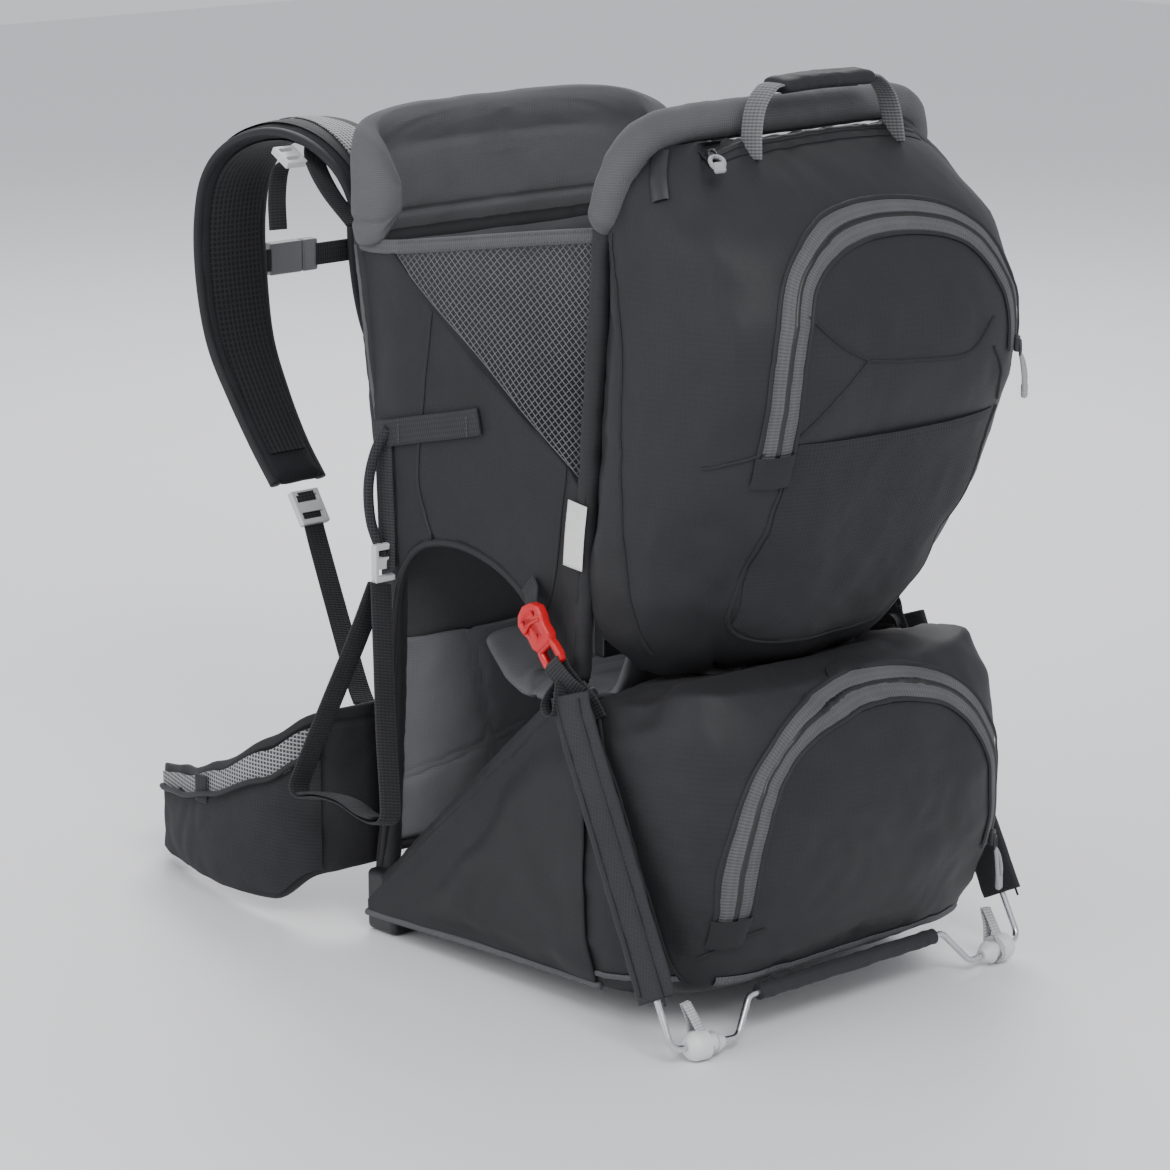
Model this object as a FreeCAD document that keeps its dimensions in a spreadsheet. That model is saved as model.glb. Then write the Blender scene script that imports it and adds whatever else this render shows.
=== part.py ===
import FreeCAD, Part
import math
import os
import re

# Framed child carrier worn on the back, in millimetres.
# +Z is up, the wearer stands on the +Y side and faces +Y, and +X is the wearer's right.
# The outlines below are drawn with y = 0 on the line of the kickstand's feet; origin_y then
# moves every sub-part, so that the origin is under the middle of the whole carrier.

SIZES = {
    # overall
    "origin_y": 306.0,
    "hoop_half": 150.0,
    "rail_inset": 15.0,
    "hoop_top": 660.0,
    # tubes and wire
    "tube_radius": 6.0,
    "tube_wall": 1.2,
    "wire_radius": 2.5,
    "fit_gap": 0.05,
    "cloth_gap": 0.5,
    # back frame
    "rail_foot_z": 24.0,
    "rail_top_z": 545.0,
    "rail_foot_y": 380.0,
    "rail_mid_y": 367.0,
    "rail_mid_z": 280.0,
    "rail_top_y": 400.0,
    "rail_bend": 45.0,
    # cockpit hoop
    "elbow_y": 138.0,
    "elbow_z": 250.0,
    "side_top_y": 111.0,
    "side_top_z": 587.0,
    "side_front_y": 358.0,
    "side_front_z": 548.0,
    "hoop_crown_y": 80.0,
    "hoop_bend": 34.0,
    "rim_radius": 14.0,
    # kickstand
    "pivot_y": 118.0,
    "pivot_z": 246.0,
    "leg_out": 27.0,
    "foot_out": 35.0,
    "foot_inner_gap": 26.0,
    "cross_gap": 47.0,
    "foot_radius": 11.0,
    "sleeve_width": 38.0,
    "sleeve_thickness": 7.0,
    "bracket_width": 8.0,
    # bags
    "bag_side_gap": 3.0,
    "swing_gap": 11.0,
    "trim_gap": 2.0,
    # cockpit lining
    "panel_gap": 7.0,
    "panel_thickness": 12.0,
    "cloth_thickness": 2.4,
    "lumbar_inset": 22.0,
    "lumbar_thickness": 22.0,
    "seat_half": 62.0,
    "seat_thickness": 18.0,
    # headrest
    "headrest_thickness": 26.0,
    "headrest_height": 95.0,
    # harness
    "strap_offset": 80.0,
    "strap_width": 62.0,
    "strap_thickness": 16.0,
    "yoke_half": 96.0,
    "yoke_thickness": 8.0,
    "yoke_height": 80.0,
    "webbing_width": 20.0,
    "webbing_thickness": 2.0,
    "sternum_z": 490.0,
    # hip belt
    "wing_thickness": 14.0,
    "wing_root_gap": 8.0,
    "wing_root_y": 404.0,
    # hardware
    "lock_width": 28.0,
    "lock_length": 30.0,
    "lock_thickness": 6.0,
    "buckle_width": 36.0,
    "buckle_length": 34.0,
    "buckle_thickness": 11.0,
    "tongue_length": 16.0,
    "stirrup_out": 54.0,
    "stirrup_width": 20.0,
    "handle_half": 70.0,
    "handle_rise": 37.0,
    "handle_y": 47.0,
    "slider_length": 12.0,
    "slider_width": 8.0,
    "slider_thickness": 4.0,
}

V = FreeCAD.Vector
X_AXIS = V(1, 0, 0)
Y_AXIS = V(0, 1, 0)
Z_AXIS = V(0, 0, 1)
SIDES = {"left": -1.0, "right": 1.0}

doc = FreeCAD.newDocument("child_carrier")
sheet = doc.addObject("Spreadsheet::Sheet", "sizes")
sub_parts = []


def fill_sheet():
    """Write each driving size in its own named cell."""
    for row, (alias, value) in enumerate(SIZES.items(), start=1):
        sheet.set("A%d" % row, alias)
        sheet.set("B%d" % row, str(value))
        sheet.setAlias("B%d" % row, alias)
    doc.recompute()


# widths that follow from the driving sizes, as expressions for the sheet
PANEL_HALF = "(hoop_half - rail_inset - tube_radius - panel_gap)"
LUMBAR_HALF = "(hoop_half - rail_inset - tube_radius - panel_gap - lumbar_inset)"
BAG_HALF = "(hoop_half - tube_radius - bag_side_gap)"


def panel_half():
    return sheet.hoop_half - sheet.rail_inset - sheet.tube_radius - sheet.panel_gap


def bag_half():
    return sheet.hoop_half - sheet.tube_radius - sheet.bag_side_gap


def cells(text):
    """Turn plain size names in an expression into references to the sheet."""
    def cell(word):
        name = word.group()
        return "sizes." + name if name in SIZES else name

    return re.sub(r"[a-z_]+", cell, text)


# ---------------------------------------------------------------- geometry helpers

def rounded_path(points, radius):
    """Straight runs joined by tangent arcs, through a list of corner points."""
    pieces = []
    start = points[0]
    for before, corner, after in zip(points, points[1:], points[2:]):
        ahead = (corner - before).normalize()
        away = (after - corner).normalize()
        turn = ahead.getAngle(away)
        if turn < 0.001:
            continue
        reach = radius * math.tan(turn / 2)
        reach = min(reach, 0.48 * corner.distanceToPoint(before), 0.48 * corner.distanceToPoint(after))
        bend = reach / math.tan(turn / 2)
        inward = (away - ahead).normalize()
        centre = corner + inward * (bend / math.cos(turn / 2))
        arc_start = corner - ahead * reach
        arc_end = corner + away * reach
        pieces.append(Part.LineSegment(start, arc_start))
        pieces.append(Part.Arc(arc_start, centre - inward * bend, arc_end))
        start = arc_end
    pieces.append(Part.LineSegment(start, points[-1]))
    return pieces


def path_wire(points, radius):
    return Part.Wire([piece.toShape() for piece in rounded_path(points, radius)])


def swept_round(points, bend, outer, inner=0.0):
    """A round bar or tube along a rounded path."""
    wire = path_wire(points, bend)
    start = points[0]
    along = points[1] - points[0]
    face = Part.Face(Part.Wire(Part.makeCircle(outer, start, along)))
    if inner > 0:
        hole = Part.Face(Part.Wire(Part.makeCircle(inner, start, along)))
        face = face.cut(hole).Faces[0]
    return wire.makePipe(face)


def side_normal(first, second):
    """The unit vector to the left of a run in the drawing plane."""
    run = second - first
    return V(-run.y, run.x, 0).normalize()


def offset_corners(points, distance):
    """Corner points of a path moved sideways by a distance, keeping its runs parallel."""
    moved = []
    count = len(points)
    for index, point in enumerate(points):
        if index == 0:
            moved.append(point + side_normal(points[0], points[1]) * distance)
        elif index == count - 1:
            moved.append(point + side_normal(points[-2], points[-1]) * distance)
        else:
            first = side_normal(points[index - 1], point)
            second = side_normal(point, points[index + 1])
            middle = (first + second).normalize()
            moved.append(point + middle * (distance / middle.dot(first)))
    return moved


def band_outline(points, radius, near, far):
    """Closed outline of a band that follows a path, between two sideways distances."""
    near_path = rounded_path(offset_corners(points, near), radius)
    far_path = rounded_path(offset_corners(points, far)[::-1], radius)
    first_end = Part.LineSegment(near_path[-1].EndPoint, far_path[0].StartPoint)
    last_end = Part.LineSegment(far_path[-1].EndPoint, near_path[0].StartPoint)
    return near_path + [first_end] + far_path + [last_end]


def polygon(points):
    return [Part.LineSegment(first, second) for first, second in zip(points, points[1:] + points[:1])]


def flat(pairs):
    """Drawing-plane points from pairs of numbers."""
    return [V(first, second, 0) for first, second in pairs]


# ---------------------------------------------------------------- document helpers

def keep(thing, name):
    """Name a finished sub-part, so that it is checked and written."""
    thing.Label = name
    sub_parts.append(thing)
    return thing


def place(thing, x="0", y="0", z="0", rotation=None):
    """Place a sub-part in the carrier, with sizes from the sheet."""
    thing.Placement = FreeCAD.Placement(V(0, 0, 0), rotation or FreeCAD.Rotation())
    thing.setExpression(".Placement.Base.x", cells(x))
    thing.setExpression(".Placement.Base.y", cells("(" + y + ") - origin_y"))
    thing.setExpression(".Placement.Base.z", cells(z))


def padded(name, role, outline, length, start="0"):
    """A body padded from an outline on one origin plane, from a start distance along its normal."""
    body = doc.addObject("PartDesign::Body", name)
    sketch = body.newObject("Sketcher::SketchObject", name + "_outline")
    plane = [feature for feature in body.Origin.OriginFeatures if feature.Role == role][0]
    sketch.AttachmentSupport = [(plane, "")]
    sketch.MapMode = "FlatFace"
    for piece in outline:
        sketch.addGeometry(piece, False)
    pad = body.newObject("PartDesign::Pad", name + "_pad")
    pad.Profile = sketch
    pad.setExpression("Length", cells(length))
    sketch.Visibility = False
    if role == "YZ_Plane":
        place(body, x=start)
    elif role == "XZ_Plane":
        place(body, y=start)
    else:
        place(body, z=start)
    return keep(body, name)


def shaped(name, shape):
    """A sub-part whose shape is worked out from the sheet in this file."""
    thing = doc.addObject("Part::Feature", name)
    thing.Shape = Part.makeCompound(shape.Solids)
    place(thing)
    return keep(thing, name)


def block(lengths, centre, rotation=None, bevel=0.0):
    """A box about its centre, with its long edges rounded."""
    box = Part.makeBox(lengths[0], lengths[1], lengths[2], V(*[-length / 2 for length in lengths]))
    if bevel > 0:
        box = box.makeFillet(bevel, box.Edges)
    box.Placement = FreeCAD.Placement(centre, rotation or FreeCAD.Rotation())
    return box


def strip(points, radius, near, far, x_low, x_high):
    """A band drawn in the side view and given a width across the carrier."""
    outline = band_outline(flat(points), radius, near, far)
    face = Part.Face(Part.Wire([piece.toShape() for piece in outline]))
    face.rotate(V(0, 0, 0), V(1, 1, 1), 120)
    face.translate(V(x_low, 0, 0))
    return face.extrude(V(x_high - x_low, 0, 0))


def mirrored(shape):
    return shape.mirror(V(0, 0, 0), X_AXIS)


def both_sides(shape):
    """A piece and its mirror image, as two separate solids."""
    return Part.makeCompound([shape, mirrored(shape)])


def lock_shape(centre, tilt, width, length, thickness):
    """A ladder lock: a plate with two webbing slots and a bar between them."""
    body = block((width, length, thickness), V(0, 0, 0), bevel=1.0)
    for place_y in (-length / 4, length / 4):
        body = body.cut(block((width - 6, length / 5, thickness * 2), V(0, place_y, 0)))
    body.Placement = FreeCAD.Placement(centre, FreeCAD.Rotation(X_AXIS, tilt))
    return body


# ---------------------------------------------------------------- frame

def rail_points(x):
    """The side view of one rail, from its foot to the top bar."""
    s = sheet
    return [
        V(x, s.rail_foot_y, s.rail_foot_z + s.tube_radius * 3),
        V(x, s.rail_mid_y, s.rail_mid_z),
        V(x, s.rail_top_y, s.rail_top_z),
    ]


def back_frame_path():
    rail_x = sheet.hoop_half - sheet.rail_inset
    return rail_points(-rail_x) + rail_points(rail_x)[::-1]


def hoop_path():
    """Left corner fitting, up the leg opening's lower edge, elbow, upright, crown, and mirrored."""
    s = sheet
    left = [
        V(-s.hoop_half + 4, s.rail_foot_y - 22, s.rail_foot_z + 24),
        V(-s.hoop_half, s.elbow_y, s.elbow_z),
        V(-s.hoop_half, s.side_top_y, s.side_top_z),
        V(-s.hoop_half, s.hoop_crown_y + 10, s.hoop_top),
        V(0, s.hoop_crown_y, s.hoop_top + 4),
    ]
    right = [V(-point.x, point.y, point.z) for point in left[:-1]]
    return left + right[::-1]


def make_frame():
    s = sheet
    inner = s.tube_radius - s.tube_wall
    rail_x = s.hoop_half - s.rail_inset
    shaped("back_frame", swept_round(back_frame_path(), s.rail_bend, s.tube_radius, inner))
    bar = doc.addObject("Part::Cylinder", "bottom_crossbar_bar")
    bar.setExpression("Radius", cells("tube_radius"))
    bar.setExpression("Height", cells("2 * (hoop_half - rail_inset - tube_radius)"))
    bore = doc.addObject("Part::Cylinder", "bottom_crossbar_bore")
    bore.setExpression("Radius", cells("tube_radius - tube_wall"))
    bore.setExpression("Height", cells("2 * (hoop_half - rail_inset - tube_radius)"))
    crossbar = doc.addObject("Part::Cut", "bottom_crossbar")
    crossbar.Base = bar
    crossbar.Tool = bore
    along_x = FreeCAD.Rotation(Y_AXIS, 90)
    place(crossbar, "-(hoop_half - rail_inset - tube_radius)", "rail_foot_y", "rail_foot_z", along_x)
    keep(crossbar, "bottom_crossbar")

    hoop = swept_round(hoop_path(), s.hoop_bend, s.tube_radius, inner)
    shaped("cockpit_hoop", hoop)

    socket = s.tube_radius + s.fit_gap
    tools = [
        swept_round(back_frame_path(), s.rail_bend, socket),
        swept_round(hoop_path(), s.hoop_bend, socket),
    ]
    height = s.rail_foot_z + 26
    corner = block((30, 34, height), V(-rail_x - 3, s.rail_foot_y - 9, height / 2), bevel=5)
    for tool in tools:
        corner = corner.cut(tool)
    bore_start = V(-rail_x + s.tube_radius, s.rail_foot_y, s.rail_foot_z)
    corner = corner.cut(Part.makeCylinder(socket, rail_x, bore_start, X_AXIS))
    corner = max(corner.Solids, key=lambda solid: solid.Volume)
    shaped("corner_fittings", both_sides(corner))


def rim_points():
    """The part of the hoop that the padded rim covers."""
    s = sheet
    left = [
        V(-s.hoop_half, s.side_top_y, s.side_top_z),
        V(-s.hoop_half, s.hoop_crown_y + 10, s.hoop_top),
        V(0, s.hoop_crown_y, s.hoop_top + 4),
    ]
    lift = (left[1] - left[0]).normalize()
    left[0] = left[0] + lift * 4
    right = [V(-point.x, point.y, point.z) for point in left[:-1]]
    return left + right[::-1]


def make_rim():
    s = sheet
    shaped("rim_pad", swept_round(rim_points(), s.hoop_bend, s.rim_radius, s.tube_radius + s.fit_gap))


# ---------------------------------------------------------------- kickstand

def wire_points():
    """The stand's wire from the left pivot, down the leg, round the foot and across to the right."""
    s = sheet
    stub_in = s.hoop_half + s.tube_radius + 1.5
    left = [
        V(-stub_in, s.pivot_y, s.pivot_z),
        V(-s.hoop_half - s.leg_out, s.pivot_y, s.pivot_z),
        V(-s.hoop_half - s.foot_out, 0, s.foot_radius + 1.6),
        V(-s.hoop_half + s.foot_inner_gap, -5, s.foot_radius - 1.8),
        V(-s.hoop_half + s.cross_gap, 5, 34),
    ]
    right = [V(-point.x, point.y, point.z) for point in left]
    return left + right[::-1]


def foot_profile():
    """Half section of a foot along its bar: dome, collar, webbing groove and cone."""
    s = sheet
    bore = s.wire_radius + s.fit_gap
    radius = s.foot_radius
    return [
        Part.LineSegment(V(0, bore, 0), V(0, radius - 6, 0)),
        Part.Arc(V(0, radius - 6, 0), V(3.5, radius - 1.8, 0), V(11, radius, 0)),
        Part.LineSegment(V(11, radius, 0), V(17, radius, 0)),
        Part.LineSegment(V(17, radius, 0), V(17, radius - 4, 0)),
        Part.LineSegment(V(17, radius - 4, 0), V(25, radius - 4, 0)),
        Part.LineSegment(V(25, radius - 4, 0), V(25, radius - 2, 0)),
        Part.LineSegment(V(25, radius - 2, 0), V(34, bore + 2, 0)),
        Part.LineSegment(V(34, bore + 2, 0), V(34, bore, 0)),
        Part.LineSegment(V(34, bore, 0), V(0, bore, 0)),
    ]


def make_kickstand():
    s = sheet
    points = wire_points()
    wire = swept_round(points, 9.0, s.wire_radius)
    shaped("kickstand_wire", wire)

    outer_bend = points[2]
    inner_bend = points[3]
    along = (inner_bend - outer_bend).normalize()
    face = Part.Face(Part.Wire([piece.toShape() for piece in foot_profile()]))
    foot = face.revolve(V(0, 0, 0), X_AXIS, 360)
    foot.Placement = FreeCAD.Placement(outer_bend + along * 13, FreeCAD.Rotation(X_AXIS, along))
    feet = both_sides(foot)
    shaped("kickstand_feet", feet)

    groove = outer_bend + along * (13 + 21)
    ring = Part.makeCylinder(s.foot_radius - 1.6, 7, V(0, 0, -3.5))
    ring = ring.cut(Part.makeCylinder(s.foot_radius - 3.8, 7, V(0, 0, -3.5)))
    ring.Placement = FreeCAD.Placement(groove, FreeCAD.Rotation(Z_AXIS, along))
    tail = block((7, 2.2, 26), groove + V(0, 4, s.foot_radius + 10), FreeCAD.Rotation(X_AXIS, -14))
    loop = ring.fuse(tail).cut(foot).cut(wire)
    shaped("foot_loops", both_sides(max(loop.Solids, key=lambda solid: solid.Volume)))

    top = points[1]
    leg = (outer_bend - top).normalize()
    length = top.distanceToPoint(outer_bend)
    corner = V(-s.sleeve_thickness / 2, -s.sleeve_width / 2, 14)
    slab = Part.makeBox(s.sleeve_thickness, s.sleeve_width, length * 0.78, corner)
    slab = slab.makeFillet(2.5, [edge for edge in slab.Edges if edge.Length > length / 2])
    slab.Placement = FreeCAD.Placement(top, FreeCAD.Rotation(X_AXIS, V(0, 0, 1), leg, "ZXY"))
    bore = swept_round(points, 9.0, s.wire_radius + s.fit_gap)
    slab = slab.cut(bore)
    cross_half = s.hoop_half - s.cross_gap - 12
    cross = Part.makeCylinder(9, 2 * cross_half, V(-cross_half, 5, 34), X_AXIS).cut(bore)
    shaped("leg_sleeves", Part.makeCompound([slab, mirrored(slab), cross]))

    inside = s.hoop_half + s.tube_radius + 0.4
    plate = Part.makeCylinder(9, s.bracket_width, V(-inside - s.bracket_width, s.pivot_y, s.pivot_z), X_AXIS)
    arm_centre = V(-inside - s.bracket_width / 2, s.pivot_y + 14, s.pivot_z)
    arm = block((s.bracket_width - 2, 34, 14), arm_centre, bevel=2)
    bracket = plate.fuse(arm).removeSplitter()
    clamp = swept_round(hoop_path(), s.hoop_bend, s.tube_radius + s.fit_gap)
    saddle = block((s.bracket_width + 6, 16, 22), V(-inside + 1, s.elbow_y + 4, s.elbow_z - 2), bevel=2)
    bracket = bracket.fuse(saddle).cut(clamp).cut(bore)
    shaped("kickstand_brackets", both_sides(max(bracket.Solids, key=lambda solid: solid.Volume)))


# ---------------------------------------------------------------- bags

def make_bags():
    s = sheet
    lower = flat([
        (s.rail_foot_y - 36, s.rail_foot_z + 12),
        (s.elbow_y + 20, s.elbow_z - 40),
        (s.elbow_y - 10, s.elbow_z - 2),
        (34, s.elbow_z + 8),
        (0, s.elbow_z + 16),
        (-22, s.elbow_z - 6),
        (-36, 150),
        (-22, 84),
    ])
    under = s.pivot_z - math.hypot(s.pivot_y - 5, s.pivot_z - 34) + 9 + s.swing_gap
    radius = s.pivot_z - under
    arc = []
    for step in range(7):
        angle = math.radians(-32 + 9 * step)
        arc.append(V(s.pivot_y + radius * math.sin(angle), s.pivot_z - radius * math.cos(angle), 0))
    arc.append(V(s.rail_foot_y - 42, 20, 0))
    length = "2 * " + BAG_HALF
    start = "-" + BAG_HALF
    padded("lower_bag", "YZ_Plane", polygon(lower + arc), length, start)

    top = s.hoop_top - 22
    upper = flat([
        (112, s.elbow_z + 34),
        (112, s.side_top_z - 26),
        (80, s.side_top_z),
        (56, top - 26),
        (50, top),
        (28, top - 8),
        (-18, top - 62),
        (-40, top - 105),
        (-50, top - 145),
        (-44, top - 190),
        (-20, s.elbow_z + 110),
        (29, s.elbow_z + 30),
        (52, s.elbow_z + 14),
    ])
    padded("upper_bag", "YZ_Plane", polygon(upper), length, start)


def make_zips():
    """The coils of the two rear arches and of the lid, each a thin bar off its bag's face."""
    s = sheet
    top = s.hoop_top - 22
    upper_y = -50 - s.cloth_gap - 1.5
    left = 31 - bag_half()
    right = bag_half() - 37
    crown = right - 44
    upper = flat([
        (left, top - 160), (left, top - 70), (-crown, top - 52),
        (crown, top - 52), (right, top - 70), (right, top - 160),
    ])
    upper_shape = swept_in_rear(upper, upper_y)
    side = bag_half() - 23
    crown = side - 48
    lower = flat([(-side, 96), (-side, 190), (-crown, 236), (crown, 236), (side, 190), (side, 96)])
    lower_shape = swept_in_rear(lower, -36 - s.cloth_gap - 1.5)
    lid = Part.makeCylinder(1.5, 2 * right, V(-right, 40, top + 3), X_AXIS)
    shaped("zip_coils", Part.makeCompound([upper_shape, lower_shape, lid]))


def swept_in_rear(points, y):
    return swept_round([V(point.x, y, point.y) for point in points], 24, 1.5)


def make_slider(name, centre, rotation):
    """A zip slider with its puller, clear of the coil that it runs on."""
    s = sheet
    body = block((s.slider_width, s.slider_thickness, s.slider_length), V(0, -3.7, 0), bevel=0.8)
    puller = block((5, 2.0, 24), V(0, -3.7, -s.slider_length / 2 - 11), bevel=0.8)
    slider = body.fuse(puller)
    slider.Placement = FreeCAD.Placement(centre, rotation)
    shaped(name, slider.removeSplitter())


def make_sliders():
    s = sheet
    top = s.hoop_top - 22
    still = FreeCAD.Rotation()
    make_slider("upper_zip_slider", V(bag_half() - 37, -50 - s.cloth_gap - 1.5, top - 145), still)
    make_slider("lower_zip_slider", V(bag_half() - 23, -36 - s.cloth_gap - 1.5, 108), still)
    make_slider("lid_zip_slider", V(49 - bag_half(), 40, top + 3), FreeCAD.Rotation(Y_AXIS, 90))


# ---------------------------------------------------------------- side walls

def make_sides():
    s = sheet
    gap = s.tube_radius + s.cloth_gap
    upright = (s.side_top_y - s.elbow_y) / (s.side_top_z - s.elbow_z)

    def edge_y(z):
        return s.elbow_y + upright * (z - s.elbow_z) + gap

    panel = flat([
        (edge_y(290), 290),
        (edge_y(396), 396),
        (248, 469),
        (305, 514),
        (s.side_front_y - 4, s.side_front_z - 4),
        (s.side_front_y + 12, 470),
        (346, 372),
        (279, 331),
        (215, 300),
    ])
    mesh = flat([
        (edge_y(400), 400),
        (248 - 1, 469 + 2),
        (305 - 2, 514 + 2),
        (s.side_front_y - 8, s.side_front_z - 2),
        (edge_y(s.side_top_z - 5), s.side_top_z - 5),
    ])
    trim = flat([
        (edge_y(s.side_top_z) + s.trim_gap, s.side_top_z - s.cloth_gap), (s.side_front_y, s.side_front_z),
    ])
    for side, sign in SIDES.items():
        near = "hoop_half - cloth_thickness" if sign > 0 else "-hoop_half"
        padded("side_panel_" + side, "YZ_Plane", polygon(panel), "cloth_thickness", near)
        padded("side_mesh_" + side, "YZ_Plane", polygon(mesh), "cloth_thickness", near)
    edge = strip([(point.x, point.y) for point in trim], 5, -3.0, 5.0, -s.hoop_half - 1.5, -s.hoop_half + 4)
    shaped("side_trims", both_sides(edge))


# ---------------------------------------------------------------- cockpit

def panel_path():
    """Side view of the wearer's back panel, which follows the rails."""
    s = sheet
    return [
        (s.rail_foot_y + 8, s.rail_foot_z + 44),
        (s.rail_mid_y + 8, s.rail_mid_z),
        (s.rail_top_y + 5, s.rail_top_z - 40),
    ]


def make_cockpit():
    s = sheet
    half = s.panel_thickness / 2
    outline = band_outline(flat(panel_path()), 300, -half, half)
    padded("back_panel", "YZ_Plane", outline, "2 * " + PANEL_HALF, "-" + PANEL_HALF)
    lining = band_outline(flat(panel_path()), 300, half + 12, half + 12 + s.cloth_thickness)
    padded("child_front_lining", "YZ_Plane", lining, "2 * " + PANEL_HALF, "-" + PANEL_HALF)

    child_back = flat([(126, 292), (142, 292), (142, 560), (136, 578), (126, 578)])
    padded("child_back_panel", "YZ_Plane", polygon(child_back), "2 * " + PANEL_HALF, "-" + PANEL_HALF)
    for_seat = [(168, 262), (205, 216), (300, 205), (334, 236)]
    seat = band_outline(flat(for_seat), 30, -s.seat_thickness, 0)
    padded("child_seat", "YZ_Plane", seat, "2 * seat_half", "-seat_half")

    pad = strip([(148, 420), (148, 545), (152, 566)], 20, -5, 5, -58, -30)
    shaped("child_harness_pads", both_sides(pad))
    socket = block((s.buckle_width, 12, s.buckle_length), V(0, 262, 240), bevel=2)
    slot_z = 240 + s.buckle_length / 2 - s.tongue_length / 2
    slot = block((s.buckle_width - 10, 6, s.tongue_length), V(0, 262, slot_z))
    shaped("child_buckle_socket", socket.cut(slot))
    tongue = block((s.buckle_width - 10.4, 5.6, s.tongue_length), V(0, 262, slot_z + 0.5))
    head = block((s.buckle_width, 10, 14), V(0, 262, 240 + s.buckle_length / 2 + 7.4), bevel=2)
    shaped("child_buckle_tongue", tongue.fuse(head).removeSplitter())


def make_headrest():
    s = sheet
    half = s.headrest_thickness / 2
    path = flat([(-146, 366), (-146, 396), (146, 396), (146, 366)])
    outline = band_outline(path, 34, -half, half)
    padded("headrest_pad", "XY_Plane", outline, "headrest_height", "rail_top_z + tube_radius + cloth_gap * 2")


def make_back_pads():
    s = sheet
    half = s.panel_thickness / 2
    (foot_y, foot_z), (mid_y, mid_z), (top_y, top_z) = panel_path()
    slope = (mid_y - foot_y) / (mid_z - foot_z)
    low = 96
    high = 190
    near = -half - s.cloth_gap
    path = [(foot_y + slope * (low - foot_z), low), (foot_y + slope * (high - foot_z), high)]
    lumbar = band_outline(flat(path), 5, near - s.lumbar_thickness, near)
    padded("lumbar_pad", "YZ_Plane", lumbar, "2 * " + LUMBAR_HALF, "-" + LUMBAR_HALF)
    rise = (top_y - mid_y) / (top_z - mid_z)
    high = top_z - 4
    low = high - s.yoke_height
    path = [(top_y + rise * (low - top_z), low), (top_y + rise * (high - top_z), high)]
    yoke = band_outline(flat(path), 5, near - s.yoke_thickness, near)
    padded("torso_yoke", "YZ_Plane", yoke, "2 * yoke_half", "-yoke_half")


# ---------------------------------------------------------------- harness

def strap_path():
    """Side view of a shoulder strap's middle, from the yoke over the shoulder to its tip."""
    s = sheet
    base_y = s.rail_top_y + 5 + s.panel_thickness / 2 + s.yoke_thickness + s.strap_thickness / 2 + 1.5
    base_z = s.rail_top_z
    return [
        (base_y - 8, base_z - 105),
        (base_y + 2, base_z - 30),
        (base_y + 30, base_z + 38),
        (base_y + 120, base_z + 72),
        (base_y + 218, base_z + 18),
        (base_y + 206, base_z - 112),
        (base_y + 132, base_z - 222),
    ]


def make_straps():
    s = sheet
    half = s.strap_thickness / 2
    outline = band_outline(flat(strap_path()), 40, -half, half)
    low_x = {"left": "-strap_offset - strap_width / 2", "right": "strap_offset - strap_width / 2"}
    for side in SIDES:
        padded("shoulder_strap_" + side, "YZ_Plane", outline, "strap_width", low_x[side])

    tip_y, tip_z = strap_path()[-1]
    edge_x = -s.strap_offset - s.strap_width / 2
    lock_centre = V(-s.strap_offset, tip_y - 14, tip_z - 19)
    lock = lock_shape(lock_centre, 56, s.lock_width, s.lock_length, s.lock_thickness)
    shaped("strap_locks", both_sides(lock))

    start_y = tip_y - 25
    start_z = tip_z - 36
    path = [(start_y, start_z), (s.rail_foot_y + 44, 200)]
    web = strip(path, 5, -1, 1, -s.strap_offset - s.webbing_width / 2, -s.strap_offset + s.webbing_width / 2)
    shaped("lower_webbing", both_sides(web))

    lift_x = edge_x - 2 - s.webbing_width / 2
    far_y, far_z = strap_path()[2]
    lift = [(s.rail_top_y + 25, s.rail_top_z + 8), (far_y + 34, far_z + 8)]
    web = strip(lift, 5, -1, 1, lift_x - 7.5, lift_x + 7.5)
    shaped("load_lifters", both_sides(web))
    tilt = math.degrees(math.atan2(lift[1][1] - lift[0][1], lift[1][0] - lift[0][0]))
    lock = lock_shape(V(lift_x, far_y + 50, far_z + 16), tilt, 20, 22, s.lock_thickness)
    shaped("load_lifter_locks", both_sides(lock))


def make_sternum():
    s = sheet
    upper_y, upper_z = strap_path()[4]
    lower_y, lower_z = strap_path()[5]
    share = (s.sternum_z - lower_z) / (upper_z - lower_z)
    face_y = lower_y + share * (upper_y - lower_y) + s.strap_thickness / 2 + 2.2
    reach = s.strap_offset + s.strap_width / 2
    web_y = face_y + s.webbing_thickness / 2
    socket_x = -s.buckle_length
    socket_size = (s.buckle_length, s.buckle_thickness, s.buckle_width * 0.75)
    socket = block(socket_size, V(socket_x / 2, web_y + 6, s.sternum_z), bevel=2)
    slot = block((s.tongue_length, 5, s.buckle_width * 0.5), V(-s.tongue_length / 2, web_y + 6, s.sternum_z))
    shaped("sternum_socket", socket.cut(slot))
    tongue_centre = V(-s.tongue_length / 2 + 0.4, web_y + 6, s.sternum_z)
    tongue = block((s.tongue_length, 4.6, s.buckle_width * 0.5 - 0.4), tongue_centre)
    head = block((16, s.buckle_thickness, s.buckle_width * 0.75), V(8.4, web_y + 6, s.sternum_z), bevel=2)
    shaped("sternum_tongue", tongue.fuse(head).removeSplitter())
    length = reach - s.buckle_length - 0.4
    left = block((length, 2, s.webbing_width), V(socket_x - 0.4 - length / 2, web_y, s.sternum_z))
    shaped("sternum_web_left", left)
    length = reach - 16.8
    right = block((length, 2, s.webbing_width), V(16.8 + length / 2, web_y, s.sternum_z))
    shaped("sternum_web_right", right)


# ---------------------------------------------------------------- hip belt

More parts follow.
